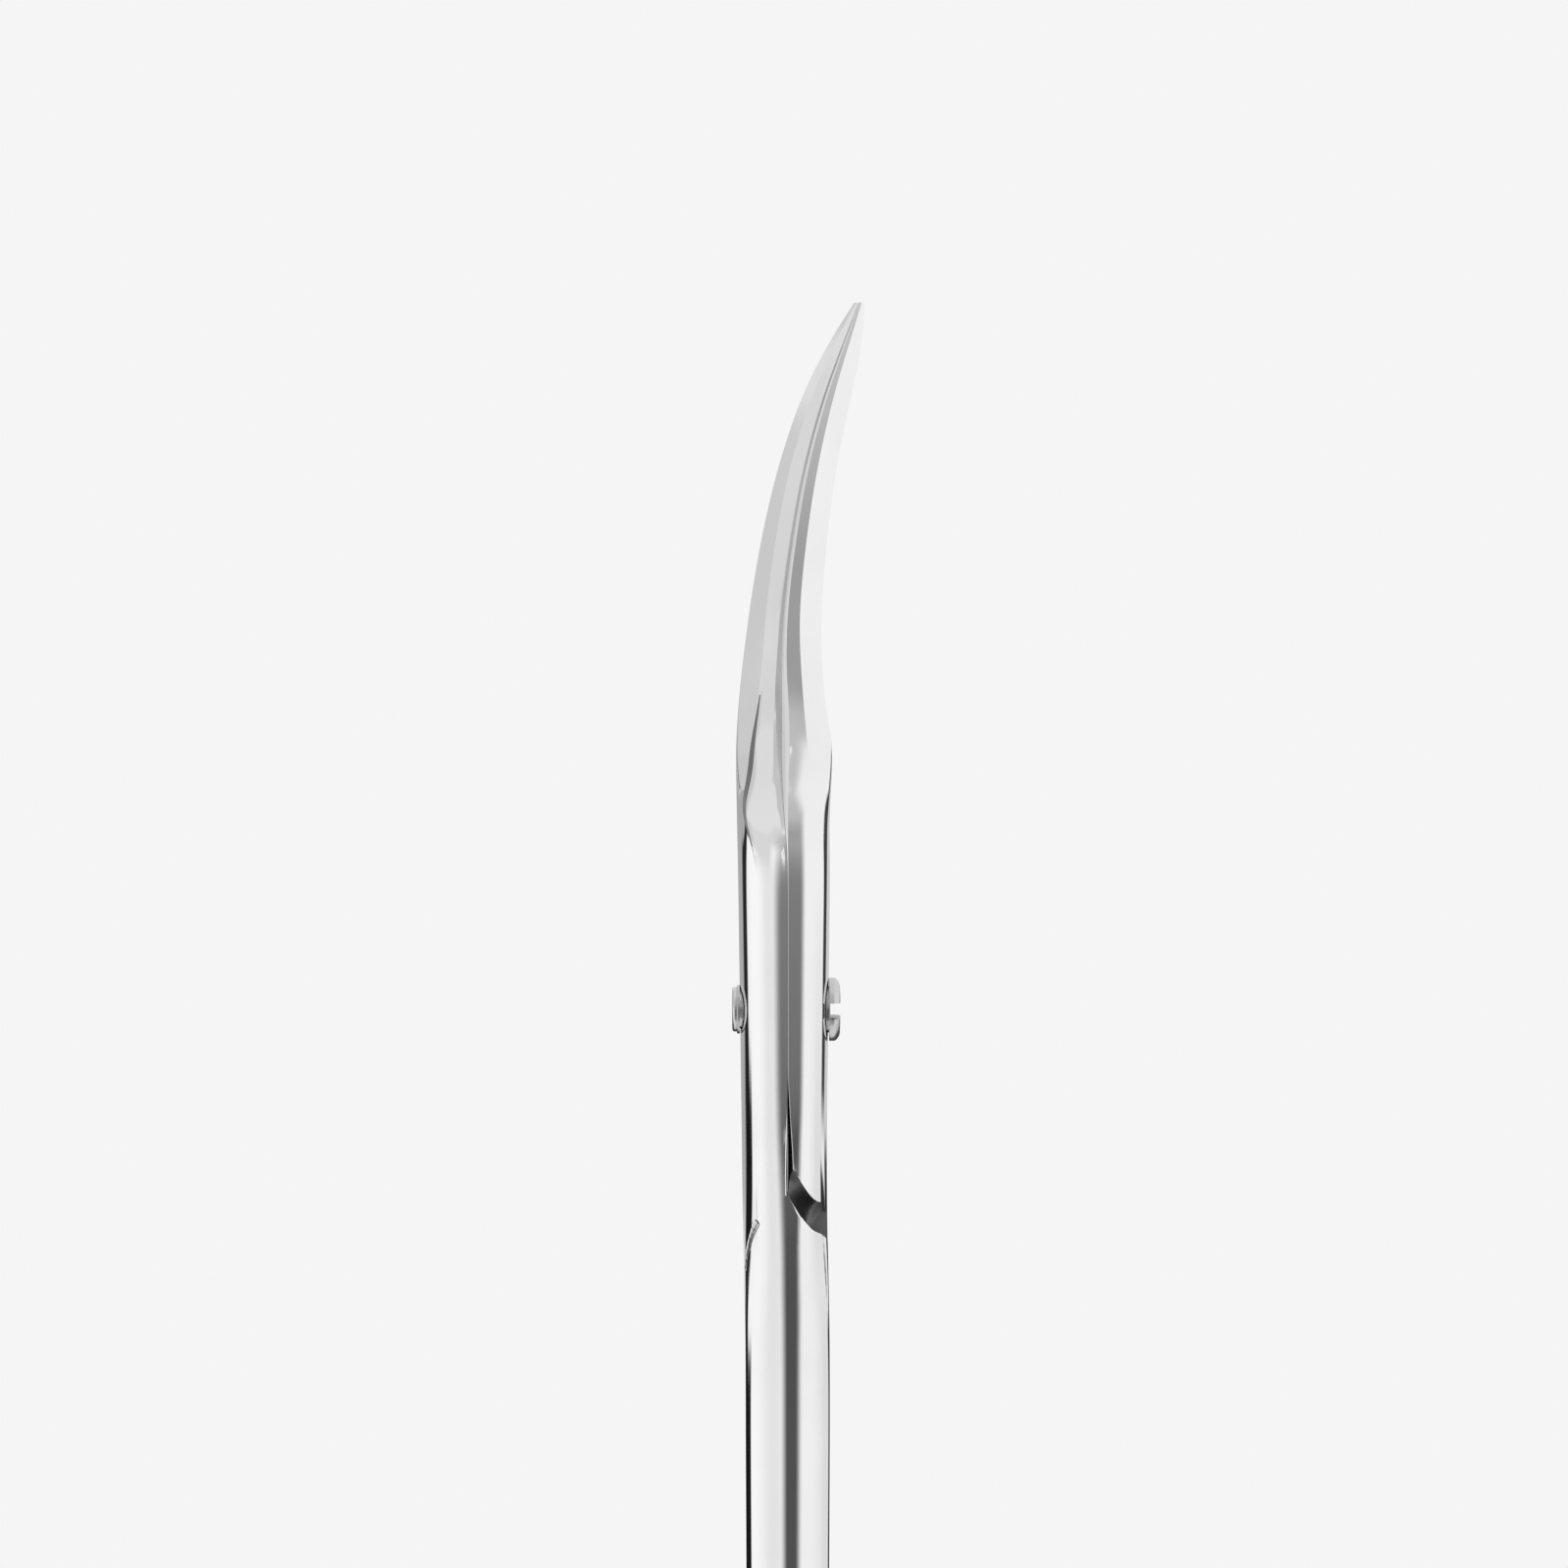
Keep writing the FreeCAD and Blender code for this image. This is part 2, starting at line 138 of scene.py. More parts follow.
# Blade stations from the joint to the tip: place along the blade, reach of the spine and of the cutting edge
# from the midline, depth of the lower and of the upper blade, how much of the joint's own thickness is left,
# lift of the contact face, roundness, softened spine edge and softened cutting edge, depth of the lower and of
# the upper crease, grinding step and width of the spine flat
BLADE_SHARES = [
    (0.000, 1.000, 1.000, 1.000, 1.000, 1.00, 0.000, 1.00, 1.0, 1.5, 1.20, 1.20, 0.0, 1.70),
    (0.071, 0.965, 0.940, 1.000, 0.930, 0.50, -0.045, 0.90, 7.5, 3.5, 1.35, 1.35, 0.0, 1.70),
    (0.141, 0.850, 0.680, 1.000, 0.990, 0.00, -0.085, 0.62, 17.0, 8.0, 0.78, 0.78, 0.9, 1.70),
    (0.210, 0.705, 0.330, 0.995, 1.042, 0.00, -0.097, 0.38, 24.0, 8.0, 0.70, 0.60, 0.8, 1.75),
    (0.280, 0.605, 0.190, 0.935, 0.888, 0.00, -0.100, 0.20, 20.0, 6.0, 0.53, 0.50, 0.0, 1.75),
    (0.350, 0.560, 0.150, 0.860, 0.812, 0.00, -0.092, 0.08, 12.0, 5.0, 0.48, 0.48, 0.0, 1.55),
    (0.419, 0.525, 0.135, 0.793, 0.754, 0.00, -0.065, 0.03, 9.0, 4.2, 0.50, 0.50, 0.0, 1.30),
    (0.489, 0.490, 0.125, 0.752, 0.717, 0.00, -0.018, 0.00, 8.0, 3.2, 0.53, 0.53, 0.0, 1.20),
    (0.591, 0.440, 0.118, 0.697, 0.666, 0.00, 0.092, 0.00, 7.5, 3.0, 0.55, 0.55, 0.0, 1.08),
    (0.697, 0.375, 0.108, 0.627, 0.608, 0.00, 0.240, 0.00, 6.5, 2.8, 0.57, 0.57, 0.0, 0.97),
    (0.800, 0.305, 0.095, 0.551, 0.543, 0.00, 0.455, 0.00, 5.5, 2.4, 0.58, 0.58, 0.0, 0.76),
    (0.871, 0.245, 0.080, 0.470, 0.470, 0.00, 0.640, 0.00, 4.5, 2.0, 0.58, 0.58, 0.0, 0.58),
    (0.941, 0.170, 0.060, 0.320, 0.320, 0.00, 0.850, 0.00, 3.0, 1.4, 0.58, 0.58, 0.0, 0.38),
    (1.000, 0.095, 0.025, 0.110, 0.110, 0.00, 1.020, 0.00, 1.5, 0.6, 0.58, 0.58, 0.0, 0.20),
]
# Thickness of the joint at its front and back
JOINT_TAPER_SHARES = (1.040, 0.955)
# Places along the straight stretch of the joint
JOINT_SHARES = (0.2, 0.4, 0.6, 0.8, 1.0)
# Crossing stations: place, and how far the inner and outer edges have crossed
CROSSING_SHARES = [(0.25, 0.03, 0.10), (0.50, 0.32, 0.35), (0.75, 0.88, 0.70), (1.00, 1.00, 1.00)]
# Shank stations to the weld with the ring: place, drift towards the ring, width and depth
SHANK_SHARES = [
    (0.136, 0.006, 1.000, 1.00),
    (0.245, 0.018, 1.005, 0.99),
    (0.354, 0.042, 1.015, 0.98),
    (0.463, 0.085, 1.030, 0.97),
    (0.572, 0.150, 1.050, 0.96),
    (0.654, 0.230, 1.070, 0.95),
    (0.736, 0.325, 1.095, 0.95),
    (0.800, 0.425, 1.130, 0.94),
    (0.860, 0.535, 1.205, 0.94),
]
# Where the shank runs into the ring, as the cosine and sine of the angle at the ring's centre
ATTACH_SHARES = (0.788, 0.616)
# Weld of the shank to the ring's neck, stations of the neck, and what the shank stops short of the weld
WELD_SHARE = 0.60
NECK_SHARES = (0.60, 0.69, 0.77, 0.84)
WELD_GAP = 0.2 * MM

# Rounded section: reach of a rounded edge as a share of the width, and how full its curve is
JOINT_ROUND_SHARE = 0.25
SHANK_ROUND_SHARE = 0.44
JOINT_FULLNESS_SHARE = 0.69
SHANK_FULLNESS_SHARE = 0.51
# How much sooner the ground facets start on the side of the cutting edge
EDGE_ROUNDNESS_POWER = 3
# Crown of the joint's outer faces, as a share of the thickness there
LOWER_CROWN_SHARE = 0.10
UPPER_CROWN_SHARE = 0.06
# Ground section of a blade: reach of the crease between the two outer facets, and the ends of the ridge
CREASE_SHARE = 0.776
RIDGE_SHARES = (0.46, 0.41)
# Walls of the notch: how far they run back for each unit across and for each unit of height, both less with
# height
SLANT_SHARE = 1.61
SLANT_LEAST_SHARE = 0.15
SLANT_FADE = 2.0 * MM
STEP_LEAN_SHARE = 1.33
STEP_LEAN_FADE = 3.5 * MM
BACK_LEAN_SHARE = 1.42
BACK_LEAN_FADE = 3.6 * MM

# Stretches round a section, and the points along each
(
    EDGE_FACET, OUTER_FACET, RIDGE, SPINE_BEVEL, SPINE_SIDE, SPINE_EDGE, CONTACT, CUTTING_EDGE, STEP_WALL,
    WALL_EDGE, FAR_SIDE,
) = range(11)
STRETCH_COUNTS = (10, 10, 4, 12, 12, 4, 22, 2, 20, 4, 24)
FAR_COUNTS = (12, 12, 12, 12, 12)
EASE_SHARE = 0.6
# Stations along a half: steps between two given ones, and between two at the crossing
STATION_STEPS = 7
CROSSING_STEPS = 40

# Ring cage: stations round the ring, and its section as shares of half the wall and half the depth
RING_STATIONS = 16
RING_SECTION_SHARES = [
    (1.0833, 0.0), (0.8333, 0.8636), (0.0, 1.0682), (-0.8333, 0.8636),
    (-1.0833, 0.0), (-0.8333, -0.8636), (0.0, -1.0682), (0.8333, -0.8636),
]
NECK_ANGLES = (240, 210, 180, 150, 120, 90, 60, 30, 0, -30, -60, -90)
# Points of the ring's section where the neck runs in, from its underside to its top
MOUTH_SPOTS = (6, 7, 0, 1, 2)
CAGE_LEVELS = 3

# Cut behind the joint: how deep and how far past the half it runs, and its points
HEEL_CUT_DEPTH = 3.0 * MM
HEEL_CUT_MARGIN = 0.6 * MM
HEEL_CUT_LEVELS = 40
HEEL_CUT_STEPS = 16
# Mark pressed behind the notch: place along X and height from the contact face in millimetres, then its hollow,
# which deepens over the first share of its run
MARK_PATH = [(-10.75, -1.54), (-11.35, -1.80), (-12.0, -1.99), (-12.65, -2.11), (-13.3, -2.18)]
MARK_RADIUS = 0.45 * MM
MARK_DEPTH = 0.09 * MM
MARK_START_SHARE = 0.05
MARK_STEPS = 40
MARK_SIDES = 32

TURNED_SIDES = 96
HOLE_SIDES = 64
SMOOTH_ANGLE = math.radians(27)
# Points closer than this are one point, and points of one section that are still closer repeat each other
SEAM_REACH = 0.0002 * MM
REPEAT_REACH = 0.00001 * MM
# An angle, in radians, that falls this short of a full turn is none
TURN_SLACK = 0.0001

# Finishes of a half, in the order of its materials, and of the screw's slot, which comes after the turned one
# The forged finish is unpolished steel, kept dark as painted shade: it darkens the notch walls, the relieved
# contact faces, the riser at the blade root, the cut behind the joint and the screw's slot
POLISHED, GROUND, FORGED_AND_SHADE = range(3)
# The screw's slot takes the dark forged steel, as painted shade inside the slot
SAWN_AND_SHADE = 1

# One section of a half: place along X, reach of its inner and outer edge, its own depth and the far side's, its
# rounding, lift, softened edges, and the sizes of its crown and ground facets
Station = namedtuple(
    "Station",
    "x inner outer depth far_depth round_share roundness lift spine_rim edge_rim fullness crown crease step "
    "flat",
)
# Relief of the contact face at one place along X
Relief = namedtuple("Relief", "open_share share gap heel edge")


# Shared shapes


def between(start, end, share):
    return start + (end - start) * share


def eased_shares(count):
    """Shares from 0 to 1, closer together towards both ends."""
    even = np.arange(count + 1) / count
    return between(even, (1 - np.cos(np.pi * even)) / 2, EASE_SHARE)


def curve_points(poles, shares):
    """Points of a cubic curve at the given shares of its run."""
    p = np.asarray(poles, float)
    t = shares[:, None]
    s = 1 - t
    return s**3 * p[0] + 3 * s**2 * t * p[1] + 3 * s * t**2 * p[2] + t**3 * p[3]


def straight(start, end):
    return np.array([between(np.asarray(start), np.asarray(end), share) for share in (0, 1 / 3, 2 / 3, 1)])


def split_curve(poles):
    """Both halves of a cubic curve, as poles."""
    rows = [np.asarray(poles, float)]
    while len(rows[-1]) > 1:
        rows.append((rows[-1][:-1] + rows[-1][1:]) / 2)
    return np.array([row[0] for row in rows]), np.array([row[-1] for row in reversed(rows)])


def rounding(start, corner, end, steps):
    """Points of a curve that rounds off a corner."""
    t = np.linspace(0, 1, steps + 1)[:, None]
    return (1 - t) ** 2 * start + 2 * t * (1 - t) * corner + t**2 * end


def bridge(low, high):
    """Corners of the faces between two closed loops."""
    return list(zip(low, low[1:] + low[:1], high[1:] + high[:1], high))


def smooth_max(first, second, blend):
    """The larger of two values, with a rounded change from one to the other."""
    return (first + second + np.sqrt((first - second) ** 2 + blend**2)) / 2


def spread_stations(rows):
    """A smooth line of stations that follows the given rows and ends on the last one, close at the crossing."""
    rows = np.asarray(rows, float)
    rows = np.vstack([2 * rows[0] - rows[1], rows, 2 * rows[-1] - rows[-2]])
    found = []
    for index in range(1, len(rows) - 2):
        a, b, c, d = rows[index - 1:index + 3]
        steps = CROSSING_STEPS if -SHANK_START < (b[0] + c[0]) / 2 < -JOINT_BACK else STATION_STEPS
        for step in range(steps):
            t = step / steps
            found.append(
                ((1 - t) ** 3 * a + (3 * t**3 - 6 * t**2 + 4) * b
                 + (-3 * t**3 + 3 * t**2 + 3 * t + 1) * c + t**3 * d) / 6
            )
    found.append(rows[-2])
    return np.array(found)


def outer_side(width, depth, round_share, flat, roundness, fullness, crown, crease):
    """Poles of the five curves round one side of a section, from the cutting edge to the spine."""
    reach = width * round_share
    slack = reach * (1 - fullness)
    shoulder = depth - crown
    slope = 2 * crown / (width / 2 - reach)
    shallow = shoulder - slope * (reach - slack)
    full = shoulder * fullness
    near_corner = [(width, 0), (width, full), (width - slack, shallow), (width - reach, shoulder)]
    far_corner = [(reach, shoulder), (slack, shallow), (0, full), (0, 0)]
    crest = straight(near_corner[-1], far_corner[0])
    crest[1:3, 1] += 4 / 3 * crown
    rounded = [*split_curve(near_corner), crest, *split_curve(far_corner)]
    corners = [
        (width, 0),
        (width * CREASE_SHARE, depth * crease),
        (width * RIDGE_SHARES[0], depth),
        (width * RIDGE_SHARES[1], depth),
        (0, flat),
        (0, 0),
    ]
    ground = [straight(a, b) for a, b in zip(corners, corners[1:])]
    edge_roundness = roundness**EDGE_ROUNDNESS_POWER
    turning = np.linspace(edge_roundness, roundness, 4)[:, None]
    mixes = [edge_roundness, turning, roundness, roundness, roundness]
    return [between(g, r, mix) for g, r, mix in zip(ground, rounded, mixes)]


def slant(depths):
    """How far a wall of the notch runs back for each unit across."""
    return SLANT_SHARE * np.clip(1 - np.abs(depths) / SLANT_FADE, SLANT_LEAST_SHARE, 1)


def lean(depths, share, fade):
    """How far a wall of the notch runs back at a height."""
    return share * depths * (1 - (depths / fade) ** 2)


def step_wall(x, depths):
    """Reach across of the step wall at a place along X."""
    start = lean(depths, STEP_LEAN_SHARE, STEP_LEAN_FADE) - SHOULDER_REACH
    return JOINT_EDGE + (x - start) / slant(depths)


def relief_at(x):
    """Relief of the contact face at a place along X, which grows towards the notch."""
    open_share = np.clip((x + SHANK_START) / (SHANK_START - JOINT_BACK), 0, 1)
    share = np.clip((-x - RELIEF_START) / RELIEF_RUN, 0, 1) ** RELIEF_POWER * open_share
    gap = between(SEAT_GAP, FACE_GAP, share) / 2 * open_share
    return Relief(open_share, share, gap, HEEL_RELIEF * share, EDGE_RELIEF * share)


def contact_stretch(ends, relief, edge_relief):
    """Contact face between its two ends, relieved along its edges."""
    reach = between(*ends, eased_shares(STRETCH_COUNTS[CONTACT]))
    inset = (reach - ends[0], ends[1] - reach)
    heel, edge = (np.clip(1 - run / RELIEF_WIDTH, 0, 1) ** 2 for run in inset)
    return np.stack([reach, relief.gap + relief.heel * heel + edge_relief * edge], -1)


def notch_stretches(x, far, relief, face_start, wall_foot):
    """Contact face up to the step wall, the wall, its softened edge and what is left of the far side behind it.

    With them goes where the wall keeps its dark forged finish, which paints the shade inside the notch.
    """
    crest = np.vstack([far[RIDGE][::-1], far[OUTER_FACET][::-1][1:], far[EDGE_FACET][::-1][1:]])
    flank = np.vstack([far[SPINE_SIDE][::-1], far[SPINE_BEVEL][::-1][1:]])
    lengths = np.append(0, np.cumsum(np.linalg.norm(np.diff(crest, axis=0), axis=1)))
    clear = crest[:, 0] - step_wall(x, crest[:, 1])
    behind = np.nonzero(clear >= 0)[0][0]
    top = 0.0
    if behind > 0:
        share = clear[behind - 1] / (clear[behind - 1] - clear[behind])
        top = between(lengths[behind - 1], lengths[behind], share)

    def along_crest(runs):
        return np.stack([np.interp(runs, lengths, crest[:, axis]) for axis in (0, 1)], -1)

    def inside(depths):
        return np.interp(-depths, -flank[:, 1], flank[:, 0])

    def wall_to(depth):
        depths = between(relief.gap, depth, eased_shares(STRETCH_COUNTS[STEP_WALL]))
        reach = smooth_max(inside(depths), step_wall(x, depths), WALL_BLEND * relief.open_share)
        return np.stack([reach, depths], -1)

    # The wall up to the far side, and then up to its softened edge
    summit = along_crest(np.array([top]))[0]
    whole = wall_to(summit[1])
    whole[0, 0] = max(wall_foot, whole[0, 0]) if relief.open_share > 0 else wall_foot
    whole[-1] = summit
    rim = min(WALL_RIM, WALL_RIM_SHARE * (relief.gap - summit[1]), WALL_RIM_SHARE * (lengths[-1] - top))
    rim_depth = summit[1] + rim
    wall = wall_to(rim_depth)
    wall[-1] = np.interp(rim_depth, whole[::-1, 1], whole[::-1, 0]), rim_depth
    # Where the wall takes the dark forged finish: painted shade inside the notch
    forged_and_shade = step_wall(x, wall[:-1, 1]) > inside(wall[:-1, 1])

    contact = contact_stretch((face_start, max(wall[0, 0], face_start)), relief, 0.0)
    edge = np.repeat(contact[-1][None], STRETCH_COUNTS[CUTTING_EDGE] + 1, axis=0)
    rest = along_crest(np.linspace(top + rim, lengths[-1], STRETCH_COUNTS[FAR_SIDE] + 1))
    wall_edge = rounding(wall[-1], summit, rest[0], STRETCH_COUNTS[WALL_EDGE])
    return [contact, edge, wall, wall_edge, rest], forged_and_shade


# The two forged halves


class Half:
    """One forged half. Side 1 is the lower half, with its shank at +Y, and side -1 the upper one.

    A point is given by its place along X, its reach across towards the half's own shank, and its depth from
    the contact face towards the half's own outer face.
    """

    def __init__(self, side):
        self.side = side
        plates = (LOWER_PLATE, UPPER_PLATE)
        self.plate, self.other_plate = plates if side > 0 else plates[::-1]
        self.blade = LOWER_BLADE if side > 0 else UPPER_BLADE
        crowns = (LOWER_CROWN_SHARE, UPPER_CROWN_SHARE)
        self.crown, self.other_crown = crowns if side > 0 else crowns[::-1]
        self.stations = spread_stations(self.station_rows())

    def place(self, points, lift=0.0):
        """Points of the half in the frame, from rows of place along X, reach across and depth."""
        x, across, depth = np.asarray(points, float).T
        return np.stack([x, self.side * across, LEVEL + lift - self.side * depth], axis=-1)

    def station_rows(self):
        """Stations from the tip to the ring, one for each row of shares."""
        rows = []
        front, back = JOINT_TAPER_SHARES
        for (place, spine, edge, lower_depth, upper_depth, plate, lift, roundness, spine_rim, edge_rim,
             lower_crease, upper_crease, step, flat) in reversed(BLADE_SHARES):
            ground = self.blade * (lower_depth if self.side > 0 else upper_depth)
            rows.append(Station(
                x=between(JOINT_FRONT, BLADE_REACH, place), inner=-JOINT_EDGE * spine, outer=JOINT_EDGE * edge,
                depth=between(ground, self.plate * front, plate),
                far_depth=between(ground, self.other_plate * front, plate),
                round_share=JOINT_ROUND_SHARE, roundness=roundness, lift=TIP_LIFT * lift,
                spine_rim=SPINE_RIM * spine_rim, edge_rim=EDGE_RIM * edge_rim, fullness=JOINT_FULLNESS_SHARE,
                crown=1, crease=lower_crease if self.side > 0 else upper_crease,
                step=GRIND_STEP * step, flat=SPINE_FLAT * flat,
            ))
        joint = rows[-1]._replace(spine_rim=SPINE_RIM, edge_rim=EDGE_RIM, flat=SPINE_FLAT)
        for place in JOINT_SHARES:
            taper = between(front, back, place)
            rows.append(joint._replace(
                x=between(JOINT_FRONT, -JOINT_BACK, place), depth=self.plate * taper,
                far_depth=self.other_plate * taper,
            ))
        half_depth = SHANK_DEPTH / 2
        inner_end = SHANK_GAP / 2
        outer_end = inner_end + SHANK_WIDTH
        for place, inner, outer in CROSSING_SHARES:
            rows.append(joint._replace(
                x=-between(JOINT_BACK, SHANK_START, place), inner=between(-JOINT_EDGE, inner_end, inner),
                outer=between(JOINT_EDGE, outer_end, outer),
                depth=between(self.plate * back, half_depth, outer),
                far_depth=between(self.other_plate * back, half_depth, outer),
                round_share=between(JOINT_ROUND_SHARE, SHANK_ROUND_SHARE, outer),
                fullness=between(JOINT_FULLNESS_SHARE, SHANK_FULLNESS_SHARE, outer), crown=1 - outer,
            ))
        shank = rows[-1]
        attach_x, attach_across = attach_point()
        for place, drift, width, depth in SHANK_SHARES:
            middle = between((inner_end + outer_end) / 2, attach_across, drift)
            reach = SHANK_WIDTH / 2 * width
            rows.append(shank._replace(
                x=between(-SHANK_START, attach_x, place), inner=middle - reach, outer=middle + reach,
                depth=half_depth * depth, far_depth=half_depth * depth,
            ))
        return rows

    def outer_stretches(self, station):
        """Stretches along the half's own outer side, and along the far side before the step wall cuts it."""
        start = np.array([station.inner, 0])
        width = station.outer - station.inner
        flat = min(station.flat, station.depth * station.crease)

        def stretches(depth, roundness, crown_share, counts):
            curves = outer_side(
                width, depth, station.round_share, flat, roundness, station.fullness,
                station.crown * crown_share * depth, station.crease,
            )
            return [start + curve_points(poles, eased_shares(count)) for poles, count in zip(curves, counts)]

        own = stretches(station.depth, station.roundness, self.crown, STRETCH_COUNTS)
        far = stretches(station.far_depth, 1, self.other_crown, FAR_COUNTS)
        return own, [stretch * (1, -1) for stretch in far]

    def section(self, station):
        """Stretches round one section, as reach across and depth, and where they keep the dark forged finish
        that paints shade in the notch, the relieved gaps and the riser.
        """
        own, far = self.outer_stretches(station)
        relief = relief_at(station.x)
        forged_and_shade = [np.zeros(count, bool) for count in STRETCH_COUNTS]

        # Edge facet, ground a little lower than the facet behind it
        facet = own[EDGE_FACET]
        if station.step > 0:
            sunk = np.linspace(0, 1, STRETCH_COUNTS[EDGE_FACET]) ** 2
            facet[:-1, 1] -= np.minimum(station.step * sunk, facet[:-1, 1] / 2)
            facet[-2, 0] = facet[-1, 0] + RISER_RUN
        # The riser of the grinding step takes the dark forged finish: painted shade, a dark line at the blade
        # root
        forged_and_shade[EDGE_FACET][-1] = station.step > LEAST_STEP

        # Softened spine edge, and the contact face from there
        heel = own[SPINE_SIDE][-1, 0]
        heel_depth = relief.gap + relief.heel
        wall_foot = np.clip(step_wall(station.x, relief.gap), heel, station.outer)
        most = FACE_RIM_SHARE * (wall_foot - heel)
        spine_rim = min(max(station.spine_rim, RELIEVED_RIM * relief.share), most)
        for stretch in own[SPINE_BEVEL:]:
            stretch[:, 1] = np.maximum(stretch[:, 1], heel_depth + spine_rim)
        turn = np.linspace(0, np.pi / 2, STRETCH_COUNTS[SPINE_EDGE] + 1)
        spine_edge = np.stack(
            [heel + spine_rim * (1 - np.cos(turn)), heel_depth + spine_rim * (1 - np.sin(turn))], -1
        )
        face_start = heel + spine_rim
        lapped = step_wall(station.x, 0.0) >= station.outer
        edge_rim = min(station.edge_rim, most) if lapped else 0.0
        face_end = wall_foot - edge_rim * between(*EDGE_LEAN_SHARES, relief.share**2)
        contact = contact_stretch((face_start, face_end), relief, relief.edge)
        # The relieved contact face takes the dark forged finish: painted shade in the gap between the halves
        forged_and_shade[CONTACT] = contact[:-1, 1] > relief.gap + LEAST_RELIEF
        if not lapped:
            notch, forged_and_shade[STEP_WALL] = notch_stretches(station.x, far, relief, face_start, wall_foot)
            return [*own, spine_edge, *notch], forged_and_shade

        # Where the halves lap, the section ends at the softened cutting edge
        facet[:, 1] = np.maximum(facet[:, 1], relief.gap + relief.edge + edge_rim)
        edge = np.linspace(contact[-1], facet[0], STRETCH_COUNTS[CUTTING_EDGE] + 1)
        ended = [
            np.repeat(facet[:1], STRETCH_COUNTS[stretch] + 1, axis=0)
            for stretch in (STEP_WALL, WALL_EDGE, FAR_SIDE)
        ]
        return [*own, spine_edge, contact, edge, *ended], forged_and_shade


def attach_point():
    """Where the middle of a shank meets the middle of its ring's wall."""
    middle = RING_BORE / 2 + RING_WALL / 2
    return RING_X + middle * ATTACH_SHARES[0], RING_ACROSS - middle * ATTACH_SHARES[1]


def make_blade_and_shank(half, weld_x):
    """Rings of points along the half from the tip to the weld, and the finish that starts at each point."""
    rings = []
    finishes = []
    for row in half.stations[half.stations[:, 0] > weld_x]:
        station = Station(*row)
        stretches, forged_and_shade = half.section(station)
        loop = np.vstack([stretch[:-1] for stretch in stretches])
        rings.append(half.place(np.column_stack([np.full(len(loop), station.x), loop]), station.lift))
        ground = np.repeat(np.arange(len(stretches)) == CONTACT, STRETCH_COUNTS)
        finishes.append(np.where(np.concatenate(forged_and_shade), FORGED_AND_SHADE, np.where(ground, GROUND, POLISHED)))
    return np.array(rings), np.array(finishes)


def neck_section(half, share):
    """Control points of the cage round the shank at a share of the way to the ring."""
    x = between(-SHANK_START, attach_point()[0], share)
    order = np.argsort(half.stations[:, 0])
    station = Station(*(np.interp(x, half.stations[order, 0], column[order]) for column in half.stations.T))
    loop = np.vstack([stretch[:-1] for stretch in half.section(station)[0]])
    middle = (station.inner + station.outer) / 2
    across = (loop[:, 0] - middle) * 2 / (station.outer - station.inner)
    angles = np.degrees(np.arctan2(loop[:, 1] / station.depth, across))
    order = np.argsort(angles)
    wanted = (np.array(NECK_ANGLES) + 180) % 360 - 180
    spots = np.stack([np.interp(wanted, angles[order], loop[order, axis], period=360) for axis in (0, 1)], -1)
    # Control points whose smooth line runs through the spots
    count = len(spots)
    mix = (4 * np.eye(count) + np.roll(np.eye(count), 1, 0) + np.roll(np.eye(count), -1, 0)) / 6
    return np.column_stack([np.full(count, x), np.linalg.solve(mix, spots)])


def make_ring_cage(half):
    """Points and faces of a coarse cage for the finger ring and the neck that flares into it."""
    attach = math.atan2(-ATTACH_SHARES[1], ATTACH_SHARES[0])
    step = 2 * math.pi / RING_STATIONS
    # Smoothing draws the cage in, so it starts out wider
    swell = 1 / (2 / 3 + math.cos(step) / 3)
    around = len(RING_SECTION_SHARES)
    points = []
    for station in range(RING_STATIONS):
        turn = attach + station * step
        for wall, depth in RING_SECTION_SHARES:
            reach = swell * (RING_BORE / 2 + RING_WALL / 2 * (1 + wall))
            points.append((
                RING_X + reach * math.cos(turn), RING_ACROSS + reach * math.sin(turn), depth * RING_DEPTH / 2
            ))

    def ring_index(station, spot):
        return station % RING_STATIONS * around + spot % around

    faces = []
    for station in range(-1, RING_STATIONS - 1):
        for spot in range(around):
            if station in (-1, 0) and spot in MOUTH_SPOTS[:-1]:
                continue
            faces.append((
                ring_index(station, spot), ring_index(station + 1, spot),
                ring_index(station + 1, spot + 1), ring_index(station, spot + 1),
            ))
    mouth = [ring_index(-1, spot) for spot in MOUTH_SPOTS] + [ring_index(0, MOUTH_SPOTS[-1])]
    mouth += [ring_index(1, spot) for spot in reversed(MOUTH_SPOTS)] + [ring_index(0, MOUTH_SPOTS[0])]
    loops = [mouth]
    for share in reversed(NECK_SHARES):
        first = len(points)
        points.extend(neck_section(half, share))
        loops.append(list(range(first, first + len(mouth))))
    for back, front in zip(loops, loops[1:]):
        faces += bridge(back, front)
    hub = ring_index(0, 0)
    keep = [index for index in range(len(points)) if index != hub]
    renumber = {old: new for new, old in enumerate(keep)}
    faces = [tuple(renumber[index] for index in face) for face in faces]
    return half.place([points[index] for index in keep]), faces


def link_object(name, data):
    obj = bpy.data.objects.new(name, data)
    bpy.context.scene.collection.objects.link(obj)
    return obj


def link_faces(name, points, faces):
    mesh = bpy.data.meshes.new(name)
    mesh.from_pydata(points, [], faces)
    return link_object(name, mesh)


def link_work(name, work, steels=()):
    """Object from finished mesh work, with the steels it is made in."""
    mesh = bpy.data.meshes.new(name)
    for steel in steels:
        mesh.materials.append(steel)
    work.to_mesh(mesh)
    work.free()
    return link_object(name, mesh)


def clear_away(obj):
    mesh = obj.data
    bpy.data.objects.remove(obj)
    bpy.data.meshes.remove(mesh)


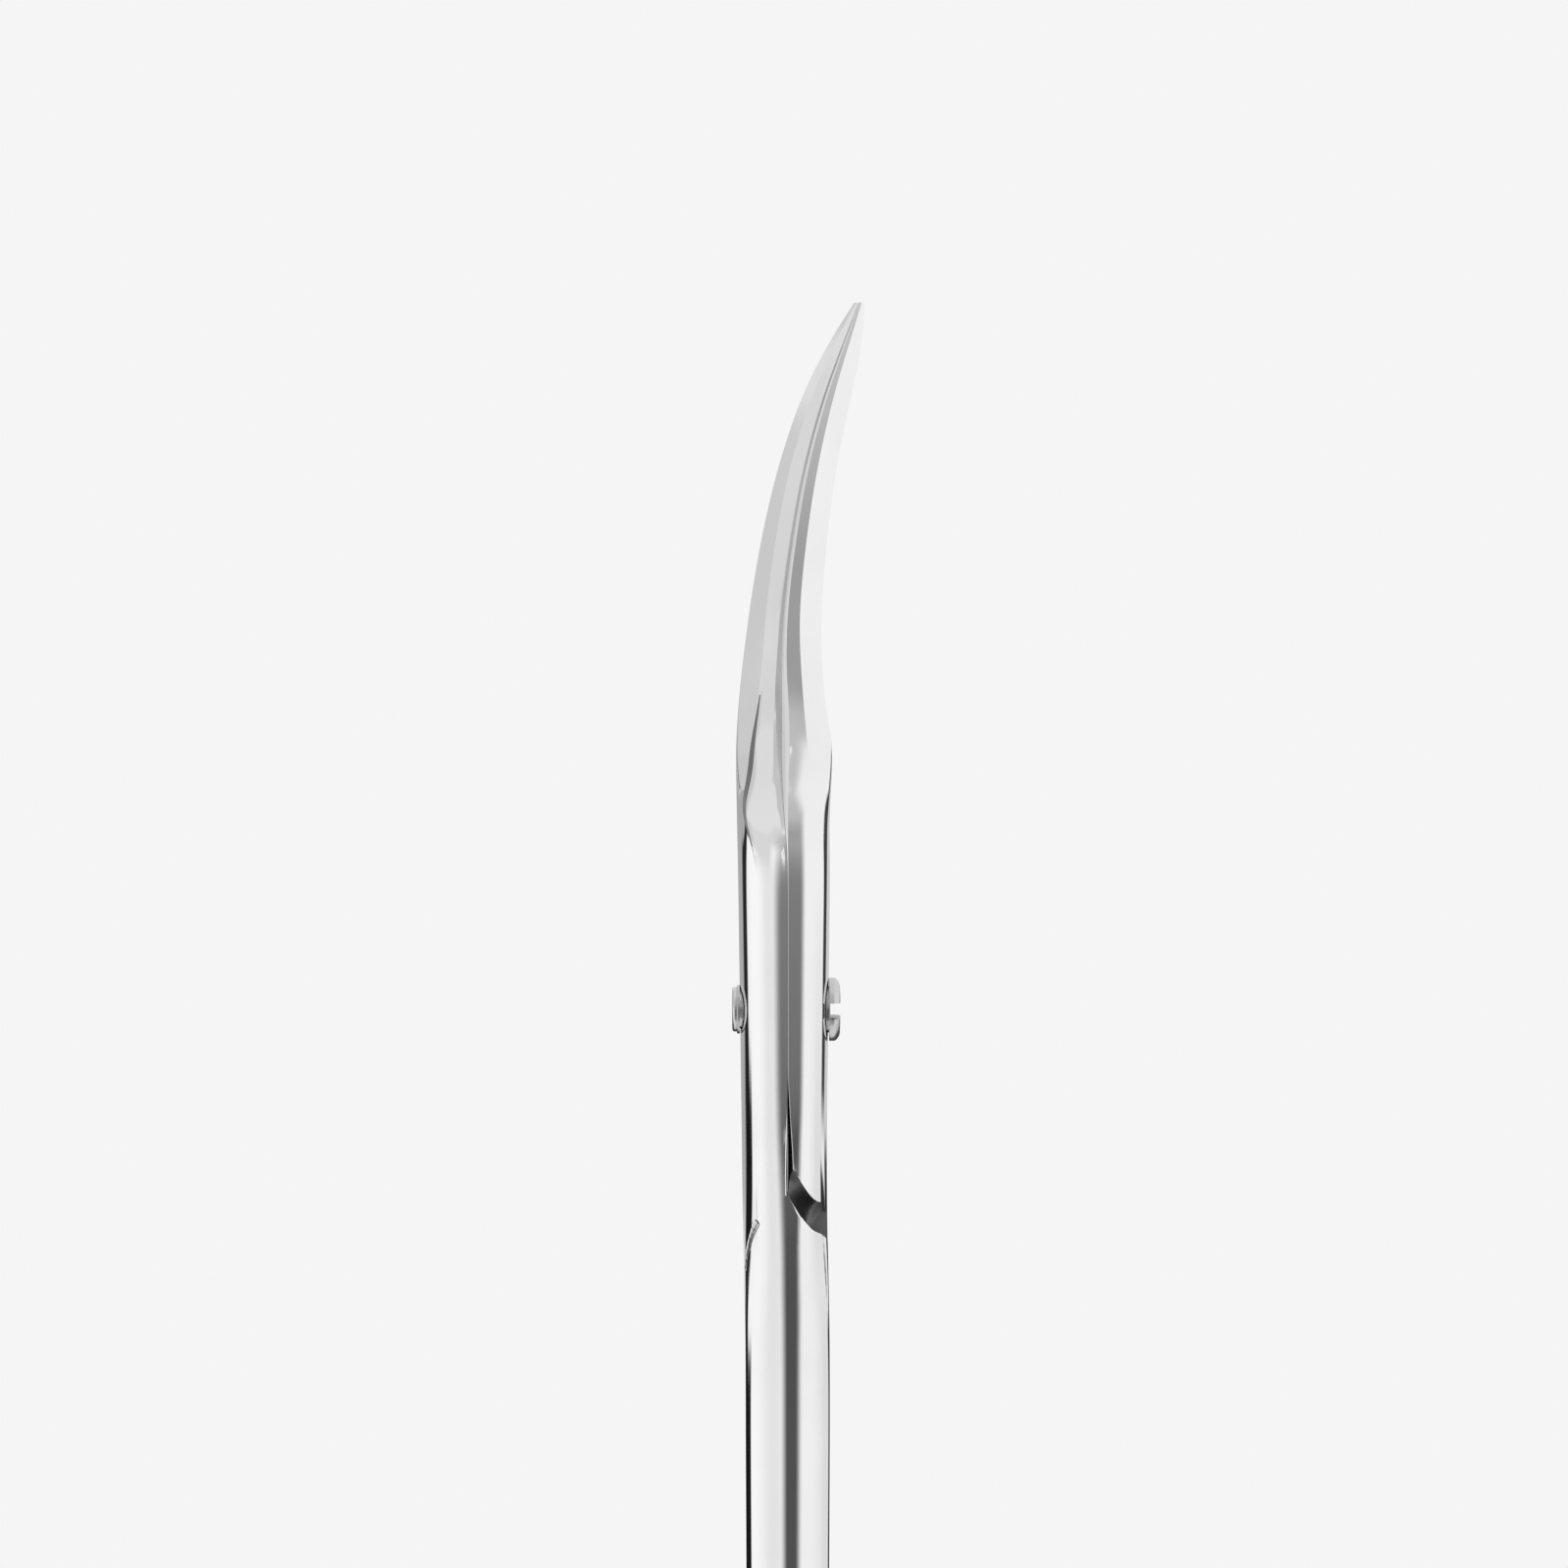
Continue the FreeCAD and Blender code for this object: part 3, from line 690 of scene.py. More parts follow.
def apply_modifiers(obj):
    """Keep what the modifiers make as the object's own mesh."""
    depsgraph = bpy.context.evaluated_depsgraph_get()
    mesh = bpy.data.meshes.new_from_object(obj.evaluated_get(depsgraph))
    obj.modifiers.clear()
    old = obj.data
    obj.data = mesh
    bpy.data.meshes.remove(old)


def close_seams(work):
    """Join points that lie on each other, and drop faces without area."""
    bmesh.ops.remove_doubles(work, verts=work.verts, dist=SEAM_REACH)
    bmesh.ops.dissolve_degenerate(work, edges=work.edges, dist=SEAM_REACH / 2)


def make_ring_mesh(half):
    """Smooth points and faces of the ring and its neck, and the open edge of the neck in turning order."""
    points, faces = make_ring_cage(half)
    cage = link_faces("ring_cage", points.tolist(), faces)
    smooth = cage.modifiers.new("smooth", "SUBSURF")
    smooth.levels = smooth.render_levels = CAGE_LEVELS
    apply_modifiers(cage)
    points = np.array([vertex.co for vertex in cage.data.vertices])
    faces = [tuple(face.vertices) for face in cage.data.polygons]
    uses = {}
    for face in faces:
        for edge in zip(face, face[1:] + face[:1]):
            uses[frozenset(edge)] = uses.get(frozenset(edge), 0) + 1
    rim = sorted({index for edge, count in uses.items() if count == 1 for index in edge})
    clear_away(cage)
    across = points[rim, 1] * half.side
    depth = (LEVEL - points[rim, 2]) * half.side
    turns = np.arctan2(depth, across - (across.max() + across.min()) / 2) % (2 * np.pi)
    turns[turns > 2 * np.pi - TURN_SLACK] = 0
    return points, faces, [rim[index] for index in np.argsort(turns)]


def half_skin(half):
    """Points, faces and finishes of a half's whole skin."""
    weld_x = between(-SHANK_START, attach_point()[0], WELD_SHARE)
    rings, ring_finishes = make_blade_and_shank(half, weld_x + WELD_GAP)
    neck_points, neck_faces, rim = make_ring_mesh(half)
    count = rings.shape[1]
    offset = len(rings) * count
    loops = np.arange(offset).reshape(-1, count).tolist()
    faces = []
    finishes = []
    for low, high, row in zip(loops, loops[1:], ring_finishes.tolist()):
        faces += bridge(low, high)
        finishes += row
    # Weld: the points that the last section repeats share one point of the ring's neck
    last = rings[-1]
    moved = np.linalg.norm(last - np.roll(last, 1, axis=0), axis=1) > REPEAT_REACH
    moved[0] = False
    spots = np.cumsum(moved) % len(rim)
    faces += bridge(loops[-1], [offset + rim[spot] for spot in spots])
    faces += [tuple(offset + index for index in face) for face in neck_faces]
    faces.append(tuple(reversed(loops[0])))
    finishes += [POLISHED] * (len(faces) - len(finishes))
    return [*rings.reshape(-1, 3), *neck_points], faces, finishes


def make_half(name, side, hole_width, steels):
    """One forged half: blade, lap joint, shank and finger ring in one skin, with the pivot hole through it."""
    half = Half(side)
    points, faces, finishes = half_skin(half)
    work = bmesh.new()
    vertices = [work.verts.new(point) for point in points]
    for face, finish in zip(faces, finishes):
        corners = list(dict.fromkeys(face))
        if len(corners) < 3:
            continue
        made = work.faces.new([vertices[index] for index in corners])
        made.material_index = finish
        made.smooth = True
    close_seams(work)
    bmesh.ops.recalc_face_normals(work, faces=work.faces)
    obj = link_work(name, work, steels)
    drill(obj, hole_width / 2 + RUNNING_GAP)
    cut_heel(obj, half, steels)
    if side > 0:
        press_mark(obj, steels)
    work = bmesh.new()
    work.from_mesh(obj.data)
    close_seams(work)
    work.to_mesh(obj.data)
    work.free()
    return obj


def loft_tool(name, loops, finish, steels):
    """Closed cutting tool through loops of points, which leaves the given finish."""
    work = bmesh.new()
    rows = [[work.verts.new(point) for point in loop] for loop in loops]
    for low, high in zip(rows, rows[1:]):
        for corners in bridge(low, high):
            work.faces.new(corners)
    work.faces.new(rows[0][::-1])
    work.faces.new(rows[-1])
    bmesh.ops.recalc_face_normals(work, faces=work.faces)
    for face in work.faces:
        face.material_index = finish
        face.smooth = True
    return link_work(name, work, steels)


def cut_heel(obj, half, steels):
    """Cut off the back of the joint, slanting past the other half's step wall."""
    loops = []
    for depth in np.linspace(-FACE_GAP, HEEL_CUT_DEPTH, HEEL_CUT_LEVELS):
        start = SHOULDER_GAP - SHOULDER_REACH - lean(depth, BACK_LEAN_SHARE, BACK_LEAN_FADE)
        reach = np.linspace(-JOINT_EDGE - HEEL_CUT_MARGIN, 0, HEEL_CUT_STEPS)
        wall = start - slant(depth) * (reach + JOINT_EDGE)
        outline = np.column_stack([[*wall, -SHANK_START, -SHANK_START], [*reach, reach[-1], reach[0]]])
        loops.append(half.place(np.column_stack([outline, np.full(len(outline), depth)])))
    # The cut faces take the dark forged finish: painted shade at the back of the notch
    cut_away(obj, loft_tool("heel_cutter", loops, FORGED_AND_SHADE, steels))


def press_mark(obj, steels):
    """Shallow crescent mark pressed into the near edge of a half, behind the notch."""
    bpy.context.view_layer.update()
    xs, heights = (np.array(column) * MM for column in zip(*MARK_PATH))
    shares = np.linspace(0, 1, MARK_STEPS)
    places = np.linspace(0, 1, len(xs))
    spots = []
    for x, height in zip(np.interp(shares, places, xs), np.interp(shares, places, heights)):
        _, spot, normal, _ = obj.ray_cast((x, 2 * JOINT_EDGE, LEVEL + height), (0, -1, 0))
        spots.append((spot, normal))
    loops = []
    for index, (spot, normal) in enumerate(spots):
        run = spots[min(index + 1, MARK_STEPS - 1)][0] - spots[max(index - 1, 0)][0]
        side = run.cross(normal).normalized()
        sunk = MARK_DEPTH * (1 - max(0, 1 - shares[index] / MARK_START_SHARE) ** 2)
        middle = spot + normal * (MARK_RADIUS - sunk)
        turns = np.arange(MARK_SIDES) * 2 * np.pi / MARK_SIDES
        spokes = [math.cos(turn) * normal + math.sin(turn) * side for turn in turns]
        loops.append([middle + MARK_RADIUS * spoke for spoke in spokes])
    cut_away(obj, loft_tool("mark_punch", loops, GROUND, steels))


def drill(obj, radius):
    """Pivot hole through a half."""
    work = bmesh.new()
    bmesh.ops.create_cone(
        work, cap_ends=True, segments=HOLE_SIDES, radius1=radius, radius2=radius, depth=4 * LEVEL,
        matrix=Matrix.Translation((0, 0, LEVEL)),
    )
    cut_away(obj, link_work("pivot_drill", work))


def cut_away(obj, tool):
    """Cut the tool's shape out of an object, and clear the tool away."""
    cut = obj.modifiers.new("cut", "BOOLEAN")
    cut.operation = "DIFFERENCE"
    cut.solver = "EXACT"
    cut.object = tool
    apply_modifiers(obj)
    clear_away(tool)


# The pivot screw and its washer


def rounded_corner(before, corner, after, reach):
    """Points that round off a corner of a turned profile."""
    before, corner, after = (np.array(point, float) for point in (before, corner, after))
    start = corner + (before - corner) / np.linalg.norm(before - corner) * reach
    end = corner + (after - corner) / np.linalg.norm(after - corner) * reach
    return rounding(start, corner, end, ROUNDING_STEPS)


def turned_profile(corners):
    """Profile through corners of radius, height and rounding."""
    found = [np.array([corners[0][:2]])]
    for before, corner, after in zip(corners, corners[1:], corners[2:]):
        if corner[2]:
            found.append(rounded_corner(before[:2], corner[:2], after[:2], corner[2]))
        else:
            found.append(np.array([corner[:2]]))
    found.append(np.array([corners[-1][:2]]))
    return np.vstack(found)


def turn_piece(name, profile, closed, steels):
    """Piece turned about the pivot axis."""
    work = bmesh.new()
    angles = np.arange(TURNED_SIDES) * 2 * np.pi / TURNED_SIDES
    loops = []
    for radius, height in profile:
        if radius == 0:
            loops.append([work.verts.new((0, 0, height))] * TURNED_SIDES)
            continue
        loops.append([work.verts.new((radius * math.cos(a), radius * math.sin(a), height)) for a in angles])
    following = loops[1:] + loops[:1] if closed else loops[1:]
    for low, high in zip(loops, following):
        for corners in bridge(low, high):
            work.faces.new(list(dict.fromkeys(corners))).smooth = True
    bmesh.ops.recalc_face_normals(work, faces=work.faces)
    return link_work(name, work, steels)


def make_screw(steels):
    """Pivot screw with a domed slotted head, a smooth bearing, a thread and a spread riveted end."""
    taper = between(*JOINT_TAPER_SHARES, JOINT_FRONT / (JOINT_FRONT + JOINT_BACK))
    seat = LEVEL + UPPER_PLATE * taper + HEAD_CLEARANCE
    shoulder = LEVEL - FACE_GAP / 2
    widths = (HEAD_WIDTH, BEARING_WIDTH, THREAD_WIDTH, RIVET_WIDTH)
    head, bearing, thread, rivet = (width / 2 for width in widths)
    riveted_end = [
        (rivet - inset * MM, depth * MM, rounding * MM) for inset, depth, rounding in RIVET_CORNERS
    ]
    domed_head = [
        (head - inset * MM, HEAD_TOP - depth * MM, rounding * MM)
        for inset, depth, rounding in reversed(HEAD_CORNERS)
    ]
    corners = [
        (0, 0, 0),
        *riveted_end,
        (rivet, RIVET_DEPTH, 0),
        (thread, RIVET_DEPTH, 0),
        (thread, shoulder, 0),
        (bearing, shoulder, 0),
        (bearing, seat, 0),
        (head, seat, HEAD_FOOT_ROUND),
        *domed_head,
        (0, HEAD_TOP, 0),
    ]
    screw = turn_piece("pivot_screw_turned", turned_profile(corners), False, steels)
    turn = Matrix.Rotation(SLOT_TURN, 3, "Z")
    outline = [(SLOT_WIDTH / 2 * x, HEAD_WIDTH * y) for x, y in ((1, 1), (-1, 1), (-1, -1), (1, -1))]
    heights = (seat + SLOT_FLOOR, 2 * HEAD_TOP)
    loops = [[turn @ Vector((*spot, height)) for spot in outline] for height in heights]
    # The slot's faces take the dark forged steel: sawn metal, and painted shade inside the slot
    cut_away(screw, loft_tool("slot_saw", loops, SAWN_AND_SHADE, steels))
    soften = screw.modifiers.new("softened edges", "BEVEL")
    soften.width = SCREW_RIM
    soften.segments = SCREW_RIM_STEPS
    soften.limit_method = "ANGLE"
    soften.angle_limit = SCREW_RIM_ANGLE
    apply_modifiers(screw)
    return screw


def make_washer(steel):
    """Thin washer under the riveted end."""
    low, high = WASHER_LOW.z, WASHER_HIGH.z
    middle = (low + high) / 2
    outer = WASHER_WIDTH / 2
    inner = THREAD_WIDTH / 2 + RUNNING_GAP
    corners = [
        (inner, middle, 0), (inner, low, WASHER_RIM), (outer, low, WASHER_RIM), (outer, high, WASHER_RIM / 2),
        (inner, high, WASHER_RIM / 2), (inner, middle, 0),
    ]
    return turn_piece("rivet_washer_turned", turned_profile(corners)[:-1], True, [steel])


# Finishes

# Colour sockets of a Mix node: the two that it mixes, and what comes out
MIX_FIRST, MIX_SECOND, MIX_RESULT = 6, 7, 2


def new_material(name):
    """Empty node material, its node tree and its main shader."""
    material = bpy.data.materials.new(name)
    material.use_nodes = True
    return material, material.node_tree, material.node_tree.nodes["Principled BSDF"]


def add_node(tree, kind, **values):
    """Node with the given input values; other words set its properties."""
    node = tree.nodes.new(kind)
    for name, value in values.items():
        if hasattr(node, name):
            setattr(node, name, value)
        else:
            node.inputs[name.replace("_", " ")].default_value = value
    return node


def join(tree, pairs):
    """Join output sockets to input sockets."""
    for source, target in pairs:
        tree.links.new(source, target)


def new_group(name, inputs, outputs):
    """Empty shader node group with named value sockets, and its input and output nodes."""
    tree = bpy.data.node_groups.new(name, "ShaderNodeTree")
    for socket, kind in inputs:
        tree.interface.new_socket(name=socket, in_out="INPUT", socket_type=kind)
    for socket, kind in outputs:
        tree.interface.new_socket(name=socket, in_out="OUTPUT", socket_type=kind)
    return tree, tree.nodes.new("NodeGroupInput"), tree.nodes.new("NodeGroupOutput")


def make_polishing_group():
    """Fine marks left by a polishing or grinding wheel: stretched noise as a height and as a mask."""
    tree, given, made = new_group(
        "wheel_marks",
        [("Vector", "NodeSocketVector"), ("Run", "NodeSocketVector"), ("Fineness", "NodeSocketFloat")],
        [("Height", "NodeSocketFloat"), ("Mask", "NodeSocketFloat")],
    )
    stretch = add_node(tree, "ShaderNodeVectorMath", operation="MULTIPLY")
    fine = add_node(tree, "ShaderNodeTexNoise", Detail=3.0, Roughness=0.6)
    broad = add_node(tree, "ShaderNodeTexNoise", Scale=900.0, Detail=2.0)
    ramp = add_node(tree, "ShaderNodeMapRange", From_Min=0.42, From_Max=0.62)
    mask = add_node(tree, "ShaderNodeMath", operation="MULTIPLY")
    join(tree, [
        (given.outputs["Vector"], stretch.inputs[0]),
        (given.outputs["Run"], stretch.inputs[1]),
        (stretch.outputs[0], fine.inputs["Vector"]),
        (given.outputs["Fineness"], fine.inputs["Scale"]),
        (given.outputs["Vector"], broad.inputs["Vector"]),
        (broad.outputs["Fac"], ramp.inputs["Value"]),
        (fine.outputs["Fac"], mask.inputs[0]),
        (ramp.outputs["Result"], mask.inputs[1]),
        (fine.outputs["Fac"], made.inputs["Height"]),
        (mask.outputs["Value"], made.inputs["Mask"]),
    ])
    return tree


def make_handling_group():
    """Soft smudges and faint cloudiness from handling, as a mask and a tint."""
    tree, given, made = new_group(
        "handling",
        [("Vector", "NodeSocketVector"), ("Bright", "NodeSocketColor"), ("Dull", "NodeSocketColor")],
        [("Mask", "NodeSocketFloat"), ("Tint", "NodeSocketColor")],
    )
    cloud = add_node(tree, "ShaderNodeTexNoise", Scale=140.0, Detail=4.0, Roughness=0.55, Distortion=0.4)
    ramp = add_node(tree, "ShaderNodeMapRange", From_Min=0.45, From_Max=0.72)
    tint = add_node(tree, "ShaderNodeMix", data_type="RGBA")
    join(tree, [
        (given.outputs["Vector"], cloud.inputs["Vector"]),
        (cloud.outputs["Fac"], ramp.inputs["Value"]),
        (ramp.outputs["Result"], tint.inputs["Factor"]),
        (given.outputs["Bright"], tint.inputs[MIX_FIRST]),
        (given.outputs["Dull"], tint.inputs[MIX_SECOND]),
        (ramp.outputs["Result"], made.inputs["Mask"]),
        (tint.outputs[MIX_RESULT], made.inputs["Tint"]),
    ])
    return tree


def make_steel(name, groups, bright, dull, run, fineness, roughness, marks):
    """Steel with wheel marks and handling marks: its clean and dulled colours, how the marks run and how fine
    and high they are, and the roughness of clean and of dulled metal."""
    material, tree, shader = new_material(name)
    shader.inputs["Metallic"].default_value = 1.0
    place = add_node(tree, "ShaderNodeTexCoord")
    wheel = add_node(tree, "ShaderNodeGroup", node_tree=groups["wheel"], Run=run, Fineness=fineness)
    handling = add_node(
        tree, "ShaderNodeGroup", node_tree=groups["handling"], Bright=(*bright, 1), Dull=(*dull, 1)
    )
    dulled = add_node(tree, "ShaderNodeMath", operation="ADD")
    clean, worn = roughness
    gloss = add_node(tree, "ShaderNodeMapRange", To_Min=clean, To_Max=worn, From_Max=1.6)
    bump = add_node(tree, "ShaderNodeBump", Strength=1.0, Distance=marks)
    join(tree, [
        (place.outputs["Object"], wheel.inputs["Vector"]),
        (place.outputs["Object"], handling.inputs["Vector"]),
        (wheel.outputs["Mask"], dulled.inputs[0]),
        (handling.outputs["Mask"], dulled.inputs[1]),
        (dulled.outputs["Value"], gloss.inputs["Value"]),
        (gloss.outputs["Result"], shader.inputs["Roughness"]),
        (handling.outputs["Tint"], shader.inputs["Base Color"]),
        (wheel.outputs["Height"], bump.inputs["Height"]),
        (bump.outputs["Normal"], shader.inputs["Normal"]),
    ])
    return material


def make_steels():
    """Steels of the halves, in the order of their finishes, and of the screw and the washer."""
    groups = {"wheel": make_polishing_group(), "handling": make_handling_group()}
    polished = make_steel(
        "polished_steel", groups, bright=(0.90, 0.90, 0.90), dull=(0.86, 0.86, 0.865),
        run=(40, 900, 900), fineness=3.0, roughness=(0.045, 0.10), marks=2e-8,
    )
    ground = make_steel(
        "ground_steel", groups, bright=(0.72, 0.72, 0.725), dull=(0.66, 0.66, 0.665),
        run=(900, 40, 900), fineness=4.0, roughness=(0.20, 0.34), marks=4e-7,
    )
    # Unpolished forged steel, kept dark as painted shade for the notch walls, the relieved gaps, the riser, the
    # heel cut and the screw's slot
    forged_and_shade = make_steel(
        "forged_steel_and_shade", groups, bright=(0.34, 0.34, 0.343), dull=(0.22, 0.22, 0.222),
        run=(600, 600, 600), fineness=4.0, roughness=(0.35, 0.50), marks=2e-6,
    )
    screw_steel = make_steel(
        "screw_steel", groups, bright=(0.70, 0.70, 0.70), dull=(0.50, 0.50, 0.505),
        run=(500, 500, 260), fineness=4.0, roughness=(0.26, 0.42), marks=4e-6,
    )
    washer_steel = make_steel(
        "washer_steel", groups, bright=(0.58, 0.58, 0.58), dull=(0.44, 0.44, 0.445),
        run=(500, 500, 260), fineness=4.0, roughness=(0.26, 0.42), marks=3e-6,
    )
    return (polished, ground, forged_and_shade), screw_steel, washer_steel


# Studio

PALE = (0.913, 0.913, 0.913, 1)
VIEW_WIDTH = 80 * MM
VIEW_DISTANCE = 600 * MM
VIEW_AIM = (11.55 * MM, JOINT_EDGE, LEVEL - 0.2 * MM)
SENSOR_WIDTH = 36 * MM
NEAREST_SEEN = 50 * MM
LAMP_WIDTH = 0.5
LAMP_POWER = 1.2
LAMP_PLACE = (0.1, 0.15, 0.8)
RING_UNDERSIDE = LEVEL - RING_DEPTH / 2
FLOOR_SLOPE = RING_UNDERSIDE / (HANDLE_REACH - RING_WALL / 2)
FLOOR_REACH = 2.0
FLOOR_TONE = (0.84, 0.84, 0.84, 1)
FLOOR_FADE = (0.12, 0.5)
# Light tent round the X axis, seen only in the polish: its reach along X in millimetres, and where its points
# are closer together. Its cloth has one tone, and strips of other tones with soft edges: from, to and softness
# in degrees from +Y up towards +Z, then along X in millimetres, and the tone
TENT_DISTANCE = 0.25
TENT_REACH, TENT_STEP = 400, 10
TENT_FINE_REACH, TENT_FINE_STEP = (-60, 120), 2
TENT_TONE = 0.96
TENT_STRIPS = {
    "lamp_below": (-122, -62, 36, -400, 34, 40, 1.03),
    "shade_below": (-46, -14, 26, -400, 34, 40, 0.86),
    "grey_below": (-128, -26, 10, 30, 500, 36, 0.75),
    "dark_grey_below": (-140, -68, 8, 30, 500, 36, 0.66),
    "grey_below_front": (-152, -112, 8, 22, 120, 10, 0.64),
    "light_below": (-86, -20, 12, 120, 500, 30, 0.81),
    "shade_above": (75, 150, 60, -400, -6, 30, 0.79),
    "grey_behind": (-200, -151, 6, -21, 60, 8, 0.42),
    "flag_below_joint": (-152, -136, 6, -21, 12, 8, 0.02),
    "flag_below_front": (-148, -128, 6, 10, 28, 8, 0.03),
    "flag_below_heel": (-153, -126, 8, -400, -11, 6, 0.01),
    "flag_below_shanks": (-200, -97, 8, -400, -25, 5, 0.01),
    "flag_above_joint": (134, 158, 6, -14, 20, 5, 0.05),
    "flag_above_heel": (160, 200, 8, -400, -14, 5, 0.03),
    "flag_above_shanks": (131, 200, 8, -400, -21, 5, 0.03),
    "grey_behind_joint": (158, 200, 6, -14, 20, 5, 0.62),
}
# The dark gap in front, where the camera stands: place along X in millimetres, tone, and from and to in degrees
FRONT_STOPS = [
    (-60, 0.10, -9, 23.5), (-24, 0.085, -9, 23.5), (-19, 0.10, -10, 24.5), (-14, 0.14, -13.5, 26),
    (-10, 0.17, -15, 27), (-3, 0.20, -15, 27), (10, 0.23, -15, 27), (40, 0.385, -15, 27), (57, 0.37, -15, 27),
    (70, 0.45, -19, 27), (84, 0.54, -24, 27), (115, 0.58, -26, 13), (180, 0.60, -26, 27),
]
FRONT_SOFTNESS = 16


def soft_band(value, start, end, softness):
    """1 inside a band and 0 outside it, with eased edges."""
    rise, fall = (np.clip(inset / softness + 0.5, 0, 1) for inset in (value - start, end - value))
    return rise**2 * (3 - 2 * rise) * fall**2 * (3 - 2 * fall)


def make_tent():
    """Light tent of white cloth with grey and black strips, whose tone is kept on its points."""
    angles = np.arange(-180, 181, 1.0)
    fine_start, fine_end = TENT_FINE_REACH
    reaches = np.concatenate([
        np.arange(-TENT_REACH, fine_start, TENT_STEP), np.arange(fine_start, fine_end, TENT_FINE_STEP),
        np.arange(fine_end, TENT_REACH + 1, TENT_STEP),
    ]).astype(float)
    angle, reach = np.meshgrid(angles, reaches, indexing="ij")
    tone = np.full(angle.shape, TENT_TONE)
    for start, end, softness, near, far, fade, strip in TENT_STRIPS.values():
        tone = between(tone, strip, soft_band(angle, start, end, softness) * soft_band(reach, near, far, fade))
    places, *columns = zip(*FRONT_STOPS)
    front, start, end = (np.interp(reach, places, column) for column in columns)
    tone = between(tone, front, soft_band(angle, start, end, FRONT_SOFTNESS))
    turn = np.radians(angle)
    points = np.stack([reach * MM, TENT_DISTANCE * np.cos(turn), LEVEL + TENT_DISTANCE * np.sin(turn)], -1)
    count = len(reaches)
    faces = [
        (row * count + spot, row * count + spot + 1, (row + 1) * count + spot + 1, (row + 1) * count + spot)
        for row in range(len(angles) - 1) for spot in range(count - 1)
    ]
    tent = link_faces("light_tent", points.reshape(-1, 3).tolist(), faces)
    tent.data.attributes.new("tone", "FLOAT", "POINT").data.foreach_set("value", tone.ravel())
    material, tree, shader = new_material("tent_cloth")
    tree.nodes.remove(shader)
    cloth = add_node(tree, "ShaderNodeAttribute", attribute_name="tone")
    glow = add_node(tree, "ShaderNodeEmission", Color=(1, 1, 1, 1))
    join(tree, [
        (cloth.outputs["Fac"], glow.inputs["Strength"]),
        (glow.outputs["Emission"], tree.nodes["Material Output"].inputs["Surface"]),
    ])
    tent.data.materials.append(material)
    tent.visible_camera = False
    tent.visible_diffuse = False
    tent.visible_shadow = False


def make_floor():
    """Pale floor under the riveted end and the rings, which fades into the background."""
    corners = [(x * FLOOR_REACH, y * FLOOR_REACH) for x, y in ((-1, -1), (1, -1), (1, 1), (-1, 1))]
    floor = link_faces("floor", [(x, y, -FLOOR_SLOPE * x) for x, y in corners], [(0, 1, 2, 3)])
    material, tree, shader = new_material("pale_floor")
    shader.inputs["Base Color"].default_value = FLOOR_TONE
    shader.inputs["Roughness"].default_value = 0.9
    shader.inputs["Specular IOR Level"].default_value = 0.0
    glow = add_node(tree, "ShaderNodeEmission", Color=PALE, Strength=1.0)
    place = add_node(tree, "ShaderNodeNewGeometry")
    reach = add_node(tree, "ShaderNodeVectorMath", operation="LENGTH")
    start, end = FLOOR_FADE
    fade = add_node(
        tree, "ShaderNodeMapRange", interpolation_type="SMOOTHSTEP", From_Min=start, From_Max=end
    )
    mix = add_node(tree, "ShaderNodeMixShader")
    join(tree, [
        (place.outputs["Position"], reach.inputs[0]),
        (reach.outputs["Value"], fade.inputs["Value"]),
        (fade.outputs["Result"], mix.inputs["Fac"]),
        (shader.outputs["BSDF"], mix.inputs[1]),
        (glow.outputs["Emission"], mix.inputs[2]),
        (mix.outputs["Shader"], tree.nodes["Material Output"].inputs["Surface"]),
    ])
    floor.data.materials.append(material)
    floor.visible_glossy = False


